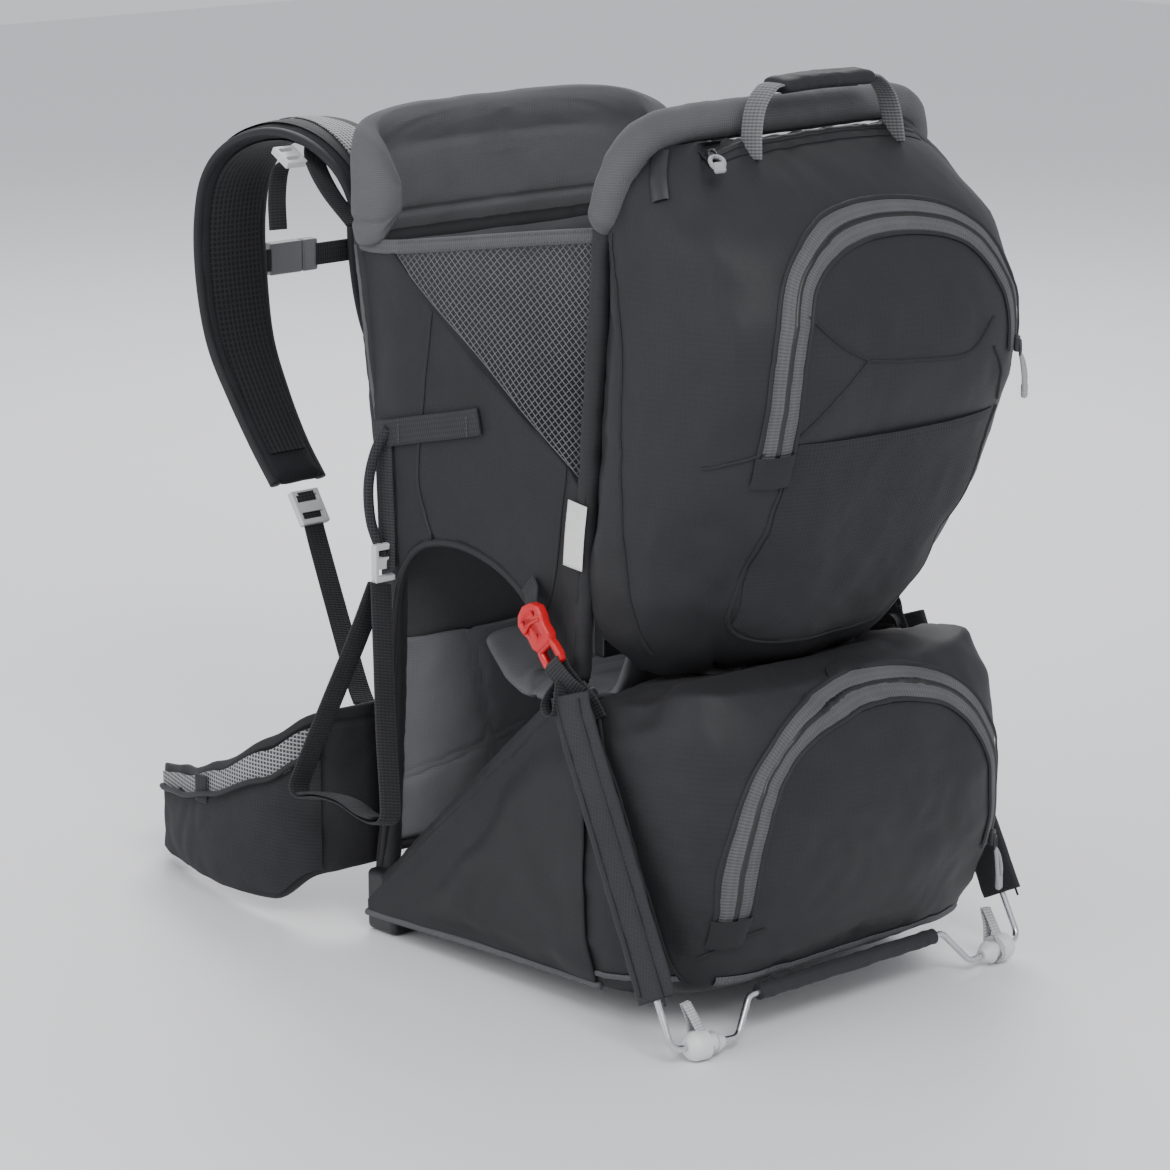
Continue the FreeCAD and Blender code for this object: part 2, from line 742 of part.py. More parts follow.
def wing_shape():
    """Left hip-belt wing: a curved band in plan, cut to its tapered side view."""
    s = sheet
    half = s.wing_thickness / 2
    outer = s.hoop_half + 42
    root = panel_half() - s.lumbar_inset + s.wing_root_gap
    path = flat([
        (-root, s.wing_root_y), (-s.hoop_half - 22, s.wing_root_y), (-outer, 480), (-s.hoop_half - 14, 610),
    ])
    outline = band_outline(path, 30, -half, half)
    face = Part.Face(Part.Wire([piece.toShape() for piece in outline]))
    solid = face.extrude(V(0, 0, 220))
    side = flat([
        (370, 56), (420, 54), (452, 12), (612, 8), (640, 12),
        (640, 84), (575, 96), (460, 140), (412, 172), (370, 176),
    ])
    window = Part.Face(Part.Wire([piece.toShape() for piece in polygon(side)]))
    window.rotate(V(0, 0, 0), V(1, 1, 1), 120)
    window.translate(V(-400, 0, 0))
    return solid.common(window.extrude(V(400, 0, 0)))


def make_belt():
    s = sheet
    wing = wing_shape()
    shaped("hip_wing_left", wing)
    shaped("hip_wing_right", mirrored(wing))
    end_x = -s.hoop_half - 14
    ring = block((8, 30, 36), V(end_x + 8, 629, 32), FreeCAD.Rotation(Z_AXIS, -16), bevel=2)
    ring = ring.cut(block((20, 12, 26), V(end_x + 8, 629, 32), FreeCAD.Rotation(Z_AXIS, -16)))
    shaped("belt_ring_left", ring)
    shaped("belt_ring_right", mirrored(ring))
    path = flat([(end_x + 13, 646), (end_x + 28, 664), (-s.buckle_length - 32, 664)])
    web_edges = [piece.toShape() for piece in band_outline(path, 12, -1, 1)]
    web = Part.Face(Part.Wire(web_edges)).extrude(V(0, 0, 24))
    web.translate(V(0, 0, 20))
    shaped("belt_webbing_left", web)
    shaped("belt_webbing_right", mirrored(web))
    head = block((18, 12, 38), V(-s.buckle_length - 22.6, 664, 32), bevel=2)
    tongue = block((s.tongue_length, 5, 20), V(-s.buckle_length - 13.8 + s.tongue_length / 2, 664, 32))
    shaped("belt_buckle_tongue", head.fuse(tongue).removeSplitter())
    socket = block((s.buckle_length, 12, 38), V(s.buckle_length / 2 + 31.6, 664, 32), bevel=2)
    slot = block((s.tongue_length, 6, 21), V(31.6 + s.tongue_length / 2, 664, 32))
    shaped("belt_buckle_socket", socket.cut(slot))


# ---------------------------------------------------------------- side hardware

def make_side_buckles():
    """The pair of bright release buckles that hold the stand and the bag's base open."""
    s = sheet
    lean = FreeCAD.Rotation(X_AXIS, -42)
    middle = V(-s.hoop_half - s.tube_radius - s.bracket_width - 6, s.elbow_y + 12, s.elbow_z + 31)
    long_size = s.buckle_length
    body = Part.makeBox(9, 26, long_size, V(-4.5, -13, 0))
    body = body.makeFillet(2.5, [edge for edge in body.Edges if edge.Length > 20])
    slot = Part.makeBox(5, 18, s.tongue_length, V(-2.5, -9, 0))
    body = body.cut(slot)
    body.Placement = FreeCAD.Placement(middle, lean)
    shaped("side_buckle_sockets", both_sides(body))
    head = Part.makeBox(8, 24, 12, V(-4, -12, -12.4))
    head = head.makeFillet(2.0, [edge for edge in head.Edges if edge.Length > 11])
    tongue = Part.makeBox(4.6, 17.6, s.tongue_length, V(-2.3, -8.8, -0.6))
    male = head.fuse(tongue).removeSplitter()
    male.Placement = FreeCAD.Placement(middle, lean)
    shaped("side_buckle_tongue_left", male)
    shaped("side_buckle_tongue_right", mirrored(male))


def make_stirrups():
    s = sheet
    corners = [(350, 278), (292, 116), (404, 116), (354, 278)]
    outline = band_outline(flat(corners), 9, -1, 1)
    face = Part.Face(Part.Wire([piece.toShape() for piece in outline]))
    face.rotate(V(0, 0, 0), V(1, 1, 1), 120)
    loop = face.extrude(V(s.stirrup_width, 0, 0))
    lean = math.degrees(math.atan2(s.stirrup_out - 12, 170))
    loop.translate(V(-s.hoop_half - 14 - s.stirrup_width / 2, 0, 0))
    loop.rotate(V(-s.hoop_half - 14, 350, 290), Y_AXIS, lean)
    shaped("stirrup_left", loop)
    shaped("stirrup_right", mirrored(loop))
    lock = lock_shape(V(-s.hoop_half - 6, 352, 306), 90, s.lock_width, s.lock_length, s.lock_thickness)
    shaped("stirrup_locks", both_sides(lock))
    grab_path = [
        V(-s.hoop_half - 8, 350, 392),
        V(-s.hoop_half - 12, 338, 350),
        V(-s.hoop_half - 10, 316, 330),
    ]
    grab = swept_round(grab_path, 20, 4)
    shaped("grab_loops", both_sides(grab))


def make_handle():
    s = sheet
    base_z = s.hoop_top - 5
    top_z = base_z + s.handle_rise
    path = flat([
        (-s.handle_half, base_z), (-s.handle_half + 14, top_z),
        (s.handle_half - 14, top_z), (s.handle_half, base_z),
    ])
    outline = band_outline(path, 22, -1.5, 1.5)
    face = Part.Face(Part.Wire([piece.toShape() for piece in outline]))
    face.rotate(V(0, 0, 0), X_AXIS, 90)
    web = face.extrude(V(0, s.webbing_width, 0))
    web.translate(V(0, s.handle_y - s.webbing_width / 2, 0))
    grip_half = s.handle_half - 34
    shaped("top_handle", web)
    bar = block((2 * grip_half, s.webbing_width + 8, 12), V(0, s.handle_y, top_z), bevel=4)
    tunnel = block((2 * grip_half + 2, s.webbing_width + 0.2, 3.2), V(0, s.handle_y, top_z))
    shaped("handle_grip", bar.cut(tunnel))


def check_and_write():
    """Stop on any failed object, then write each sub-part to its own file."""
    doc.recompute()
    for thing in doc.Objects:
        if "Invalid" in thing.State or "Error" in thing.State:
            raise RuntimeError("failed object: " + thing.Name)
    for thing in sub_parts:
        if thing.Shape.isNull() or not thing.Shape.isValid() or not thing.Shape.Solids:
            raise RuntimeError("bad shape: " + thing.Label)
    os.makedirs("parts", exist_ok=True)
    for thing in sub_parts:
        thing.Shape.exportStep(os.path.join("parts", thing.Label + ".step"))


fill_sheet()
make_frame()
make_rim()
make_kickstand()
make_bags()
make_zips()
make_sliders()
make_sides()
make_cockpit()
make_headrest()
make_back_pads()
make_straps()
make_sternum()
make_belt()
make_side_buckles()
make_stirrups()
make_handle()
check_and_write()
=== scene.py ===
import math

import bmesh
import bpy
from bpy.props import FloatProperty, FloatVectorProperty, PointerProperty
from mathutils import Matrix, Vector, noise
from mathutils.bvhtree import BVHTree


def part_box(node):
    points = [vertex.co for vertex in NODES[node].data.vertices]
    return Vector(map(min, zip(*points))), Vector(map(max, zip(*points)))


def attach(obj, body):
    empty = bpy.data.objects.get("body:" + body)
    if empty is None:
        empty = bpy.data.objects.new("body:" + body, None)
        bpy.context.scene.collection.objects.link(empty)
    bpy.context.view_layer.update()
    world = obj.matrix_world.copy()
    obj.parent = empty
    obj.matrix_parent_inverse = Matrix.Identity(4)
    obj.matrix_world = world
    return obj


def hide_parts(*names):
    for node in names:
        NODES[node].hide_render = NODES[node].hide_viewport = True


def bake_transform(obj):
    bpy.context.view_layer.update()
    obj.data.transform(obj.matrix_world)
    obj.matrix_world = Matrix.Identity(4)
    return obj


bl_info = {
    "name": "Child carrier backpack",
    "version": (1, 0, 0),
    "blender": (4, 5, 0),
    "location": "View3D > Sidebar > Carrier",
    "description": "Fabric, webbing and hardware of a framed child carrier, built around its frame",
    "category": "Add Mesh",
}

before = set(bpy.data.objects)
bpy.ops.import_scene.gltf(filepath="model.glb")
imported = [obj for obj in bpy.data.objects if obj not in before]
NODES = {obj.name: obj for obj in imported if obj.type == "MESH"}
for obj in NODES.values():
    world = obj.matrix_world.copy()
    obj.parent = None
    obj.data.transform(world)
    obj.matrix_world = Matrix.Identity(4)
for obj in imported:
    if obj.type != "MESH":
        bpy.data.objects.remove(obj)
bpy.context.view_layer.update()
MM = 0.001
FOOT_LINE = 306.0  # mm from the origin back to the line under the stand's feet
SIDES = {"left": -1, "right": 1}
FOLD_SEED = 7  # of the noise behind the cloth's folds, so that each run lays the same ones


FORWARD = Vector((0, 1, 0))
SIDE_X = Vector((1, 0, 0))
UP = Vector((0, 0, 1))
DOWN = Vector((0, 0, -1))


# ------------------------------------------------------------------ places and lines

def spot(x, y, z):
    """A point in metres, from millimetres right of the middle, ahead of the feet and above ground."""
    return Vector((x, y - FOOT_LINE, z)) * MM


def line_of(points, steps=10):
    """A smooth line through control points, as a list of close points."""
    ends = [points[0] * 2 - points[1]] + list(points) + [points[-1] * 2 - points[-2]]
    line = []
    for first, second, third, fourth in zip(ends, ends[1:], ends[2:], ends[3:]):
        for step in range(steps):
            t = step / steps
            line.append(0.5 * (
                2 * second + (third - first) * t
                + (2 * first - 5 * second + 4 * third - fourth) * t * t
                + (3 * second - first - 3 * third + fourth) * t ** 3
            ))
    line.append(points[-1].copy())
    return line


def even_line(points, count, steps=12):
    """The same smooth line, with count + 1 evenly spaced points."""
    line = line_of(points, steps)
    reach = [0.0]
    for first, second in zip(line, line[1:]):
        reach.append(reach[-1] + (second - first).length)
    even = []
    index = 0
    for step in range(count + 1):
        wanted = reach[-1] * step / count
        while index < len(reach) - 2 and reach[index + 1] < wanted:
            index += 1
        span = max(reach[index + 1] - reach[index], 1e-9)
        even.append(line[index].lerp(line[index + 1], (wanted - reach[index]) / span))
    return even


def line_length(points):
    """The length of a line through points."""
    return sum((second - first).length for first, second in zip(points, points[1:]))


def ease(low, high, value):
    """0 below low, 1 above high, and smooth between."""
    t = min(max((value - low) / (high - low), 0.0), 1.0)
    return t * t * (3 - 2 * t)


def table(value, rows):
    """Read a smooth profile given as (place, size) rows."""
    if value <= rows[0][0]:
        return rows[0][1]
    for (low, first), (high, second) in zip(rows, rows[1:]):
        if value <= high:
            return first + (second - first) * ease(low, high, value) * 0.5 + \
                (second - first) * (value - low) / (high - low) * 0.5
    return rows[-1][1]


# ------------------------------------------------------------------ meshes

def finish_mesh(name, bm, material, smooth=True):
    """Turn a bmesh into a piece at the origin."""
    mesh = bpy.data.meshes.new(name)
    bm.to_mesh(mesh)
    bm.free()
    piece = bpy.data.objects.new(name, mesh)
    bpy.context.scene.collection.objects.link(piece)
    mesh.materials.append(material)
    mesh.shade_smooth() if smooth else mesh.shade_flat()
    return piece


def outward(bm):
    """Merge doubles and point every face outwards."""
    bmesh.ops.remove_doubles(bm, verts=bm.verts, dist=1e-5)
    bmesh.ops.recalc_face_normals(bm, faces=bm.faces)


def soft_block(name, cuts, place, material):
    """A subdivided cube whose points are placed by a rule of their three shares, each -1 to 1."""
    bm = bmesh.new()
    bmesh.ops.create_cube(bm, size=2)
    bmesh.ops.subdivide_edges(bm, edges=bm.edges, cuts=cuts, use_grid_fill=True)
    for vert in bm.verts:
        vert.co = place(*vert.co)
    outward(bm)
    return finish_mesh(name, bm, material)


def grid_piece(name, across, along, place, material, thickness=0.0, size=None):
    """A sheet placed by a rule of its two shares, each 0 to 1, with a UV map in metres."""
    bm = bmesh.new()
    bmesh.ops.create_grid(bm, x_segments=along, y_segments=across, size=1)
    uv = bm.loops.layers.uv.new("UVMap")
    length, width = size or (1.0, 1.0)
    for face in bm.faces:
        for loop in face.loops:
            share = loop.vert.co
            loop[uv].uv = ((share.x + 1) / 2 * length, (share.y + 1) / 2 * width)
    for vert in bm.verts:
        vert.co = place((vert.co.x + 1) / 2, (vert.co.y + 1) / 2)
    piece = finish_mesh(name, bm, material)
    if thickness:
        wall = piece.modifiers.new("wall", "SOLIDIFY")
        wall.thickness = thickness
        wall.offset = 0
    return piece


def frames_along(points, up, sideways=None):
    """Side and up directions at each point of a line; sideways, where given, fixes the side."""
    pairs = []
    for index in range(len(points)):
        ahead = points[min(index + 1, len(points) - 1)] - points[max(index - 1, 0)]
        ahead.normalize()
        if sideways is not None:
            side = (sideways - ahead * ahead.dot(sideways)).normalized()
            pairs.append((side, side.cross(ahead).normalized()))
            continue
        side = ahead.cross(up)
        side.normalize()
        pairs.append((side, side.cross(ahead).normalized()))
    return pairs


def band(name, points, width, thickness, up, material, count=60, crown=0.0, across=6, sideways=None,
         blunt=0.0):
    """A flat strap or pad along a line, with rounded edges; blunt is the share over which an end closes."""
    line = even_line(points, count)
    pairs = frames_along(line, up, sideways)
    bm = bmesh.new()
    section = []
    for step in range(2 * across):
        angle = 2 * math.pi * (step + 0.5) / (2 * across)
        flat = math.copysign(abs(math.cos(angle)) ** 0.55, math.cos(angle))
        tall = math.copysign(abs(math.sin(angle)) ** 0.8, math.sin(angle))
        section.append((flat, tall))
    rings = []
    for index, (point, (side, rise)) in enumerate(zip(line, pairs)):
        wide = width(index / count) if callable(width) else width
        end = 1.0
        if blunt:
            near = min(1.0, min(index, count - index) / count / blunt)
            end = 0.25 + 0.75 * math.sqrt(1 - (1 - near) ** 2)
            wide *= 0.7 + 0.3 * end
        ring = []
        for flat, tall in section:
            swell = crown * (1 - flat * flat)
            ring.append(bm.verts.new(
                point + side * flat * wide / 2 + rise * (tall * thickness * end / 2 + swell)))
        rings.append(ring)
    uv = bm.loops.layers.uv.new("UVMap")
    reach = line_length(line) / count
    wide = width(0.5) if callable(width) else width
    total = len(section)
    for index, (ring, following) in enumerate(zip(rings, rings[1:])):
        for step in range(total):
            other = (step + 1) % total
            face = bm.faces.new((ring[step], ring[other], following[other], following[step]))
            marks = ((index, step), (index, other), (index + 1, other), (index + 1, step))
            for loop, (row, column) in zip(face.loops, marks):
                loop[uv].uv = (row * reach, section[column][0] * wide / 2)
    bm.faces.new(rings[0])
    bm.faces.new(rings[-1])
    bmesh.ops.recalc_face_normals(bm, faces=bm.faces)
    return finish_mesh(name, bm, material)


def tube(name, points, radius, material, count=60, sides=12, flat=1.0, up=Vector((0, 0, 1))):
    """A round or slightly flattened bar along a smooth line."""
    line = even_line(points, count)
    pairs = frames_along(line, up)
    bm = bmesh.new()
    rings = []
    for index, (point, (side, rise)) in enumerate(zip(line, pairs)):
        size = radius(index / count) if callable(radius) else radius
        ring = []
        for step in range(sides):
            angle = 2 * math.pi * step / sides
            ring.append(bm.verts.new(
                point + side * math.cos(angle) * size + rise * math.sin(angle) * size * flat))
        rings.append(ring)
    for ring, following in zip(rings, rings[1:]):
        for step in range(sides):
            other = (step + 1) % sides
            bm.faces.new((ring[step], ring[other], following[other], following[step]))
    bm.faces.new(rings[0])
    bm.faces.new(rings[-1])
    bmesh.ops.recalc_face_normals(bm, faces=bm.faces)
    return finish_mesh(name, bm, material)


def solid_block(name, centre, size, material, bevel=0.0015, turn=None, segments=3):
    """A moulded block with rounded edges."""
    bm = bmesh.new()
    bmesh.ops.create_cube(bm, size=1)
    bmesh.ops.scale(bm, vec=size, verts=bm.verts)
    bmesh.ops.bevel(bm, geom=list(bm.edges), offset=bevel, segments=segments, profile=0.5,
                    affect="EDGES", clamp_overlap=True, material=-1)
    if turn:
        bmesh.ops.transform(bm, matrix=turn, verts=bm.verts)
    bmesh.ops.translate(bm, vec=centre, verts=bm.verts)
    return finish_mesh(name, bm, material)


def apply_all(piece):
    """Keep the result of every modifier as the piece's own mesh."""
    bpy.context.view_layer.update()
    result = bpy.data.meshes.new_from_object(piece.evaluated_get(bpy.context.evaluated_depsgraph_get()))
    piece.modifiers.clear()
    piece.data = result
    result.shade_smooth()


def round_off(piece, times):
    """Even out a surface's folds, a given number of times."""
    change = piece.modifiers.new("round", "SMOOTH")
    change.factor = 0.6
    change.iterations = times
    apply_all(piece)


def subdivide(piece, levels=1):
    """Refine a piece with smooth subdivision, kept as its own mesh."""
    change = piece.modifiers.new("fine", "SUBSURF")
    change.levels = levels
    change.render_levels = levels
    apply_all(piece)


def inflate(piece, pressure=4.0, cap=0.010, frames=16, stiffness=8.0):
    """Swell a closed fabric form by cloth simulation, with no point moving further than cap."""
    before = [vert.co.copy() for vert in piece.data.vertices]
    scene = bpy.context.scene
    scene.frame_start = 1
    scene.frame_end = frames
    cloth = piece.modifiers.new("cloth", "CLOTH")
    cloth.settings.quality = 4
    cloth.settings.tension_stiffness = stiffness
    cloth.settings.compression_stiffness = stiffness
    cloth.settings.shear_stiffness = stiffness / 2
    cloth.settings.bending_stiffness = 0.4
    cloth.settings.use_pressure = True
    cloth.settings.uniform_pressure_force = pressure
    cloth.settings.effector_weights.gravity = 0
    cloth.collision_settings.use_collision = False
    cloth.point_cache.frame_start = 1
    cloth.point_cache.frame_end = frames
    for step in range(1, frames + 1):
        scene.frame_set(step)
    result = bpy.data.meshes.new_from_object(piece.evaluated_get(bpy.context.evaluated_depsgraph_get()))
    piece.modifiers.clear()
    scene.frame_set(1)
    for vert, start, moved in zip(piece.data.vertices, before, result.vertices):
        push = moved.co - start
        vert.co = start + push * min(1.0, cap / max(push.length, 1e-9))


def crease(piece, depth, scale, stretch=(1, 1, 1), seed=0.0, where=None):
    """Lay soft folds and puckers into a fabric surface."""
    mesh = piece.data
    offsets = []
    for vert in mesh.vertices:
        place = Vector((vert.co.x * stretch[0], vert.co.y * stretch[1], vert.co.z * stretch[2])) * scale
        place += Vector((seed, seed * 1.7, seed * 0.6))
        warp = noise.noise_vector(place * 0.5) * 0.8
        ridge = 1 - abs(noise.noise(place + warp)) * 2.2
        fine = noise.noise(place * 2.3 + warp)
        share = where(vert.co) if where else 1.0
        offsets.append(vert.normal * depth * share * (ridge * 0.6 + fine * 0.35 - 0.3))
    for vert, offset in zip(mesh.vertices, offsets):
        vert.co += offset
    mesh.update()


def rounded(b, c, power=4.0):
    """Pull the corners of a square section in."""
    size = (abs(b) ** power + abs(c) ** power) ** (1 / power)
    return (b / size, c / size) if size > 1 else (b, c)


def sew(piece, depth, width, distance):
    """Press sewn lines into a pad, where distance gives how far a point is from the nearest one."""
    for vert in piece.data.vertices:
        vert.co -= vert.normal * depth * math.exp(-(distance(vert.co) / width) ** 2)
    piece.data.update()


def stitches(name, points, pitch, out, material):
    """A row of thread stitches along a line, each a small rounded bar."""
    count = max(1, int(line_length(line_of(points)) / pitch))
    line = even_line(points, count)
    bm = bmesh.new()
    for start, end in zip(line, line[1:]):
        ahead = (end - start).normalized()
        side = ahead.cross(out).normalized()
        made = bmesh.ops.create_cube(bm, size=1)
        turn = Matrix((ahead * pitch * 0.62, side * 0.0006,
                       side.cross(ahead) * 0.0005)).transposed().to_4x4()
        bmesh.ops.transform(bm, matrix=turn, verts=made["verts"])
        bmesh.ops.translate(bm, vec=(start + end) / 2, verts=made["verts"])
    bmesh.ops.recalc_face_normals(bm, faces=bm.faces)
    return finish_mesh(name, bm, material, False)


def surface_of(*pieces):
    """A ray target made of the pieces as they now stand."""
    bm = bmesh.new()
    for piece in pieces:
        bm.from_mesh(piece.data)
    tree = BVHTree.FromBMesh(bm)
    bm.free()
    return tree


def lay_on(tree, point, direction, lift):
    """Drop a point onto a surface along a direction, and raise it by lift."""
    hit, normal, _, _ = tree.ray_cast(point, direction)
    if hit is None:
        hit, normal, _, _ = tree.find_nearest(point)
    if normal.dot(direction) > 0:
        normal = -normal
    return hit + normal * lift, normal


def laid_band(name, points, width, lift, thickness, tree, direction, material, count=80, across=4,
              ridge=0.0):
    """A tape, seam or patch that follows a line on a fabric surface."""
    line = even_line(points, count)
    sides = [pair[0] for pair in frames_along(line, direction)]
    length = line_length(line)

    def place(along, sideways):
        index = min(int(round(along * count)), count)
        off = (sideways - 0.5) * (width(along) if callable(width) else width)
        start = line[index] + sides[index] * off - direction * 0.12
        bulge = thickness * (1 - abs(2 * sideways - 1) ** 4)
        bead = ridge * (1 if index % 2 else -1) * (1 - abs(2 * sideways - 1))
        return lay_on(tree, start, direction, lift + bulge + bead)[0]

    wide = width(0.5) if callable(width) else width
    return grid_piece(name, across, count, place, material, size=(length, wide))


def dress(piece, body, slot, *nodes):
    """Put a piece under the body it moves with and hide the plain solids it stands for; slot, what it is made of,
    is not used.
    """
    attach(piece, body)
    if nodes:
        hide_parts(*nodes)
    return piece


# ------------------------------------------------------------------ materials

FULL_TURN = 2 * math.pi
RIBS_PER_METRE = 420.0
EDGE_RIBS = 260  # fine ribs in one metre across a strap


def new_group(name, inputs, outputs):
    """A shader group with its sockets, and the nodes where it starts and ends."""
    group = bpy.data.node_groups.new(name, "ShaderNodeTree")
    for label, kind, default in inputs:
        socket = group.interface.new_socket(label, in_out="INPUT", socket_type=kind)
        if default is not None:
            socket.default_value = default
    for label, kind in outputs:
        group.interface.new_socket(label, in_out="OUTPUT", socket_type=kind)
    start = group.nodes.new("NodeGroupInput")
    end = group.nodes.new("NodeGroupOutput")
    return group, start, end


def maths(tree, operation, first, second=None, clamp=False):
    """A maths node between sockets or plain values, given as its result's socket."""
    node = tree.nodes.new("ShaderNodeMath")
    node.operation = operation
    node.use_clamp = clamp
    for index, value in enumerate((first, second)):
        if value is None:
            continue
        if isinstance(value, (int, float)):
            node.inputs[index].default_value = value
        else:
            tree.links.new(value, node.inputs[index])
    return node.outputs[0]


def weave_group():
    """Fine crossed threads in all three directions, each hidden where the surface faces it."""
    group, start, end = new_group("woven_threads", [
        ("Threads per metre", "NodeSocketFloat", 400.0),
        ("Line share", "NodeSocketFloat", 0.5),
    ], [("Mask", "NodeSocketFloat"), ("Height", "NodeSocketFloat")])
    coords = group.nodes.new("ShaderNodeTexCoord")
    place = group.nodes.new("ShaderNodeSeparateXYZ")
    facing = group.nodes.new("ShaderNodeSeparateXYZ")
    group.links.new(coords.outputs["Object"], place.inputs[0])
    group.links.new(coords.outputs["Normal"], facing.inputs[0])
    total = None
    for axis in range(3):
        turns = maths(group, "MULTIPLY", place.outputs[axis], start.outputs[0])
        wave = maths(group, "SINE", maths(group, "MULTIPLY", turns, FULL_TURN))
        floor = maths(group, "SUBTRACT", 1.0, maths(group, "MULTIPLY", start.outputs[1], 2.0))
        level = maths(group, "SUBTRACT", wave, floor)
        level = maths(group, "MAXIMUM", level, 0.0)
        hidden = maths(group, "ABSOLUTE", facing.outputs[axis])
        shown = maths(group, "SUBTRACT", 1.0, maths(group, "MULTIPLY", hidden, 1.15), clamp=True)
        part = maths(group, "MULTIPLY", level, shown)
        total = part if total is None else maths(group, "MAXIMUM", total, part)
    group.links.new(total, end.inputs[0])
    group.links.new(total, end.inputs[1])
    return group


def mottle_group():
    """Soft uneven tone, as dye and handling leave it."""
    group, start, end = new_group("uneven_tone", [
        ("Patches per metre", "NodeSocketFloat", 18.0),
        ("Strength", "NodeSocketFloat", 0.25),
    ], [("Tone", "NodeSocketFloat"), ("Grain", "NodeSocketFloat")])
    coords = group.nodes.new("ShaderNodeTexCoord")
    cloud = group.nodes.new("ShaderNodeTexNoise")
    cloud.inputs["Detail"].default_value = 5.0
    grain = group.nodes.new("ShaderNodeTexNoise")
    grain.inputs["Scale"].default_value = 900.0
    grain.inputs["Detail"].default_value = 2.0
    for node in (cloud, grain):
        group.links.new(coords.outputs["Object"], node.inputs["Vector"])
    group.links.new(start.outputs[0], cloud.inputs["Scale"])
    centred = maths(group, "SUBTRACT", cloud.outputs["Fac"], 0.5)
    swing = maths(group, "MULTIPLY", maths(group, "MULTIPLY", centred, 2.0), start.outputs[1])
    tone = maths(group, "ADD", 1.0, swing)
    group.links.new(tone, end.inputs[0])
    group.links.new(grain.outputs["Fac"], end.inputs[1])
    return group


def rib_group():
    """Ribs across a strap, read from its own length map."""
    group, start, end = new_group("webbing_ribs", [
        ("Ribs per metre", "NodeSocketFloat", 500.0),
    ], [("Mask", "NodeSocketFloat")])
    uv = group.nodes.new("ShaderNodeUVMap")
    uv.uv_map = "UVMap"
    place = group.nodes.new("ShaderNodeSeparateXYZ")
    group.links.new(uv.outputs[0], place.inputs[0])
    ribs = maths(group, "MULTIPLY", place.outputs[0], start.outputs[0])
    along = maths(group, "SINE", maths(group, "MULTIPLY", ribs, FULL_TURN))
    side = maths(group, "SINE", maths(group, "MULTIPLY", place.outputs[1], FULL_TURN * EDGE_RIBS))
    both = maths(group, "ADD", maths(group, "MULTIPLY", along, 0.35), maths(group, "MULTIPLY", side, 0.15))
    group.links.new(maths(group, "ADD", both, 0.5), end.inputs[0])
    return group


GROUPS = {}


def material_base(name, color, roughness, metallic=0.0):
    """A plain material, with its node tree and its shader."""
    material = bpy.data.materials.new(name)
    material.use_nodes = True
    shader = material.node_tree.nodes["Principled BSDF"]
    shader.inputs["Base Color"].default_value = (*color, 1)
    shader.inputs["Roughness"].default_value = roughness
    shader.inputs["Metallic"].default_value = metallic
    return material, material.node_tree, shader


def add_group(tree, key, *values):
    """One of the shared pattern groups, with its inputs set in order."""
    node = tree.nodes.new("ShaderNodeGroup")
    node.node_tree = GROUPS[key]
    for index, value in enumerate(values):
        node.inputs[index].default_value = value
    return node


def tinted(tree, shader, color, lighter, mask, tone):
    """Mix two thread colours by a mask and shade them by an uneven tone."""
    mix = tree.nodes.new("ShaderNodeMix")
    mix.data_type = "RGBA"
    mix.inputs["A"].default_value = (*color, 1)
    mix.inputs["B"].default_value = (*lighter, 1)
    tree.links.new(mask, mix.inputs["Factor"])
    shade = tree.nodes.new("ShaderNodeHueSaturation")
    tree.links.new(mix.outputs["Result"], shade.inputs["Color"])
    tree.links.new(tone, shade.inputs["Value"])
    tree.links.new(shade.outputs[0], shader.inputs["Base Color"])


def bumped(tree, shader, height, strength, distance):
    """Fine surface relief from a height pattern."""
    bump = tree.nodes.new("ShaderNodeBump")
    bump.inputs["Strength"].default_value = strength
    bump.inputs["Distance"].default_value = distance
    tree.links.new(height, bump.inputs["Height"])
    tree.links.new(bump.outputs[0], shader.inputs["Normal"])


def cloth_material(name, color, lighter, threads, share, roughness=0.8, sheen=0.04, bump=0.4, tone=0.2):
    """Woven cloth: crossed threads, uneven tone and a soft sheen."""
    material, tree, shader = material_base(name, color, roughness)
    shader.inputs["Sheen Weight"].default_value = sheen
    shader.inputs["Sheen Roughness"].default_value = 0.5
    shader.inputs["Specular IOR Level"].default_value = 0.25
    weave = add_group(tree, "weave", threads, share)
    mottle = add_group(tree, "mottle", 22.0, tone)
    tinted(tree, shader, color, lighter, weave.outputs[0], mottle.outputs[0])
    height = maths(tree, "ADD", weave.outputs[1], maths(tree, "MULTIPLY", mottle.outputs[1], 0.6))
    bumped(tree, shader, height, bump, 0.0004)
    rough = maths(tree, "ADD", roughness - 0.08, maths(tree, "MULTIPLY", mottle.outputs[1], 0.16))
    tree.links.new(rough, shader.inputs["Roughness"])
    return material


def webbing_material(name, color, lighter):
    """Ribbed strap webbing."""
    material, tree, shader = material_base(name, color, 0.75)
    shader.inputs["Sheen Weight"].default_value = 0.03
    shader.inputs["Specular IOR Level"].default_value = 0.3
    ribs = add_group(tree, "ribs", RIBS_PER_METRE)
    mottle = add_group(tree, "mottle", 40.0, 0.2)
    tinted(tree, shader, color, lighter, ribs.outputs[0], mottle.outputs[0])
    bumped(tree, shader, ribs.outputs[0], 0.7, 0.0006)
    return material


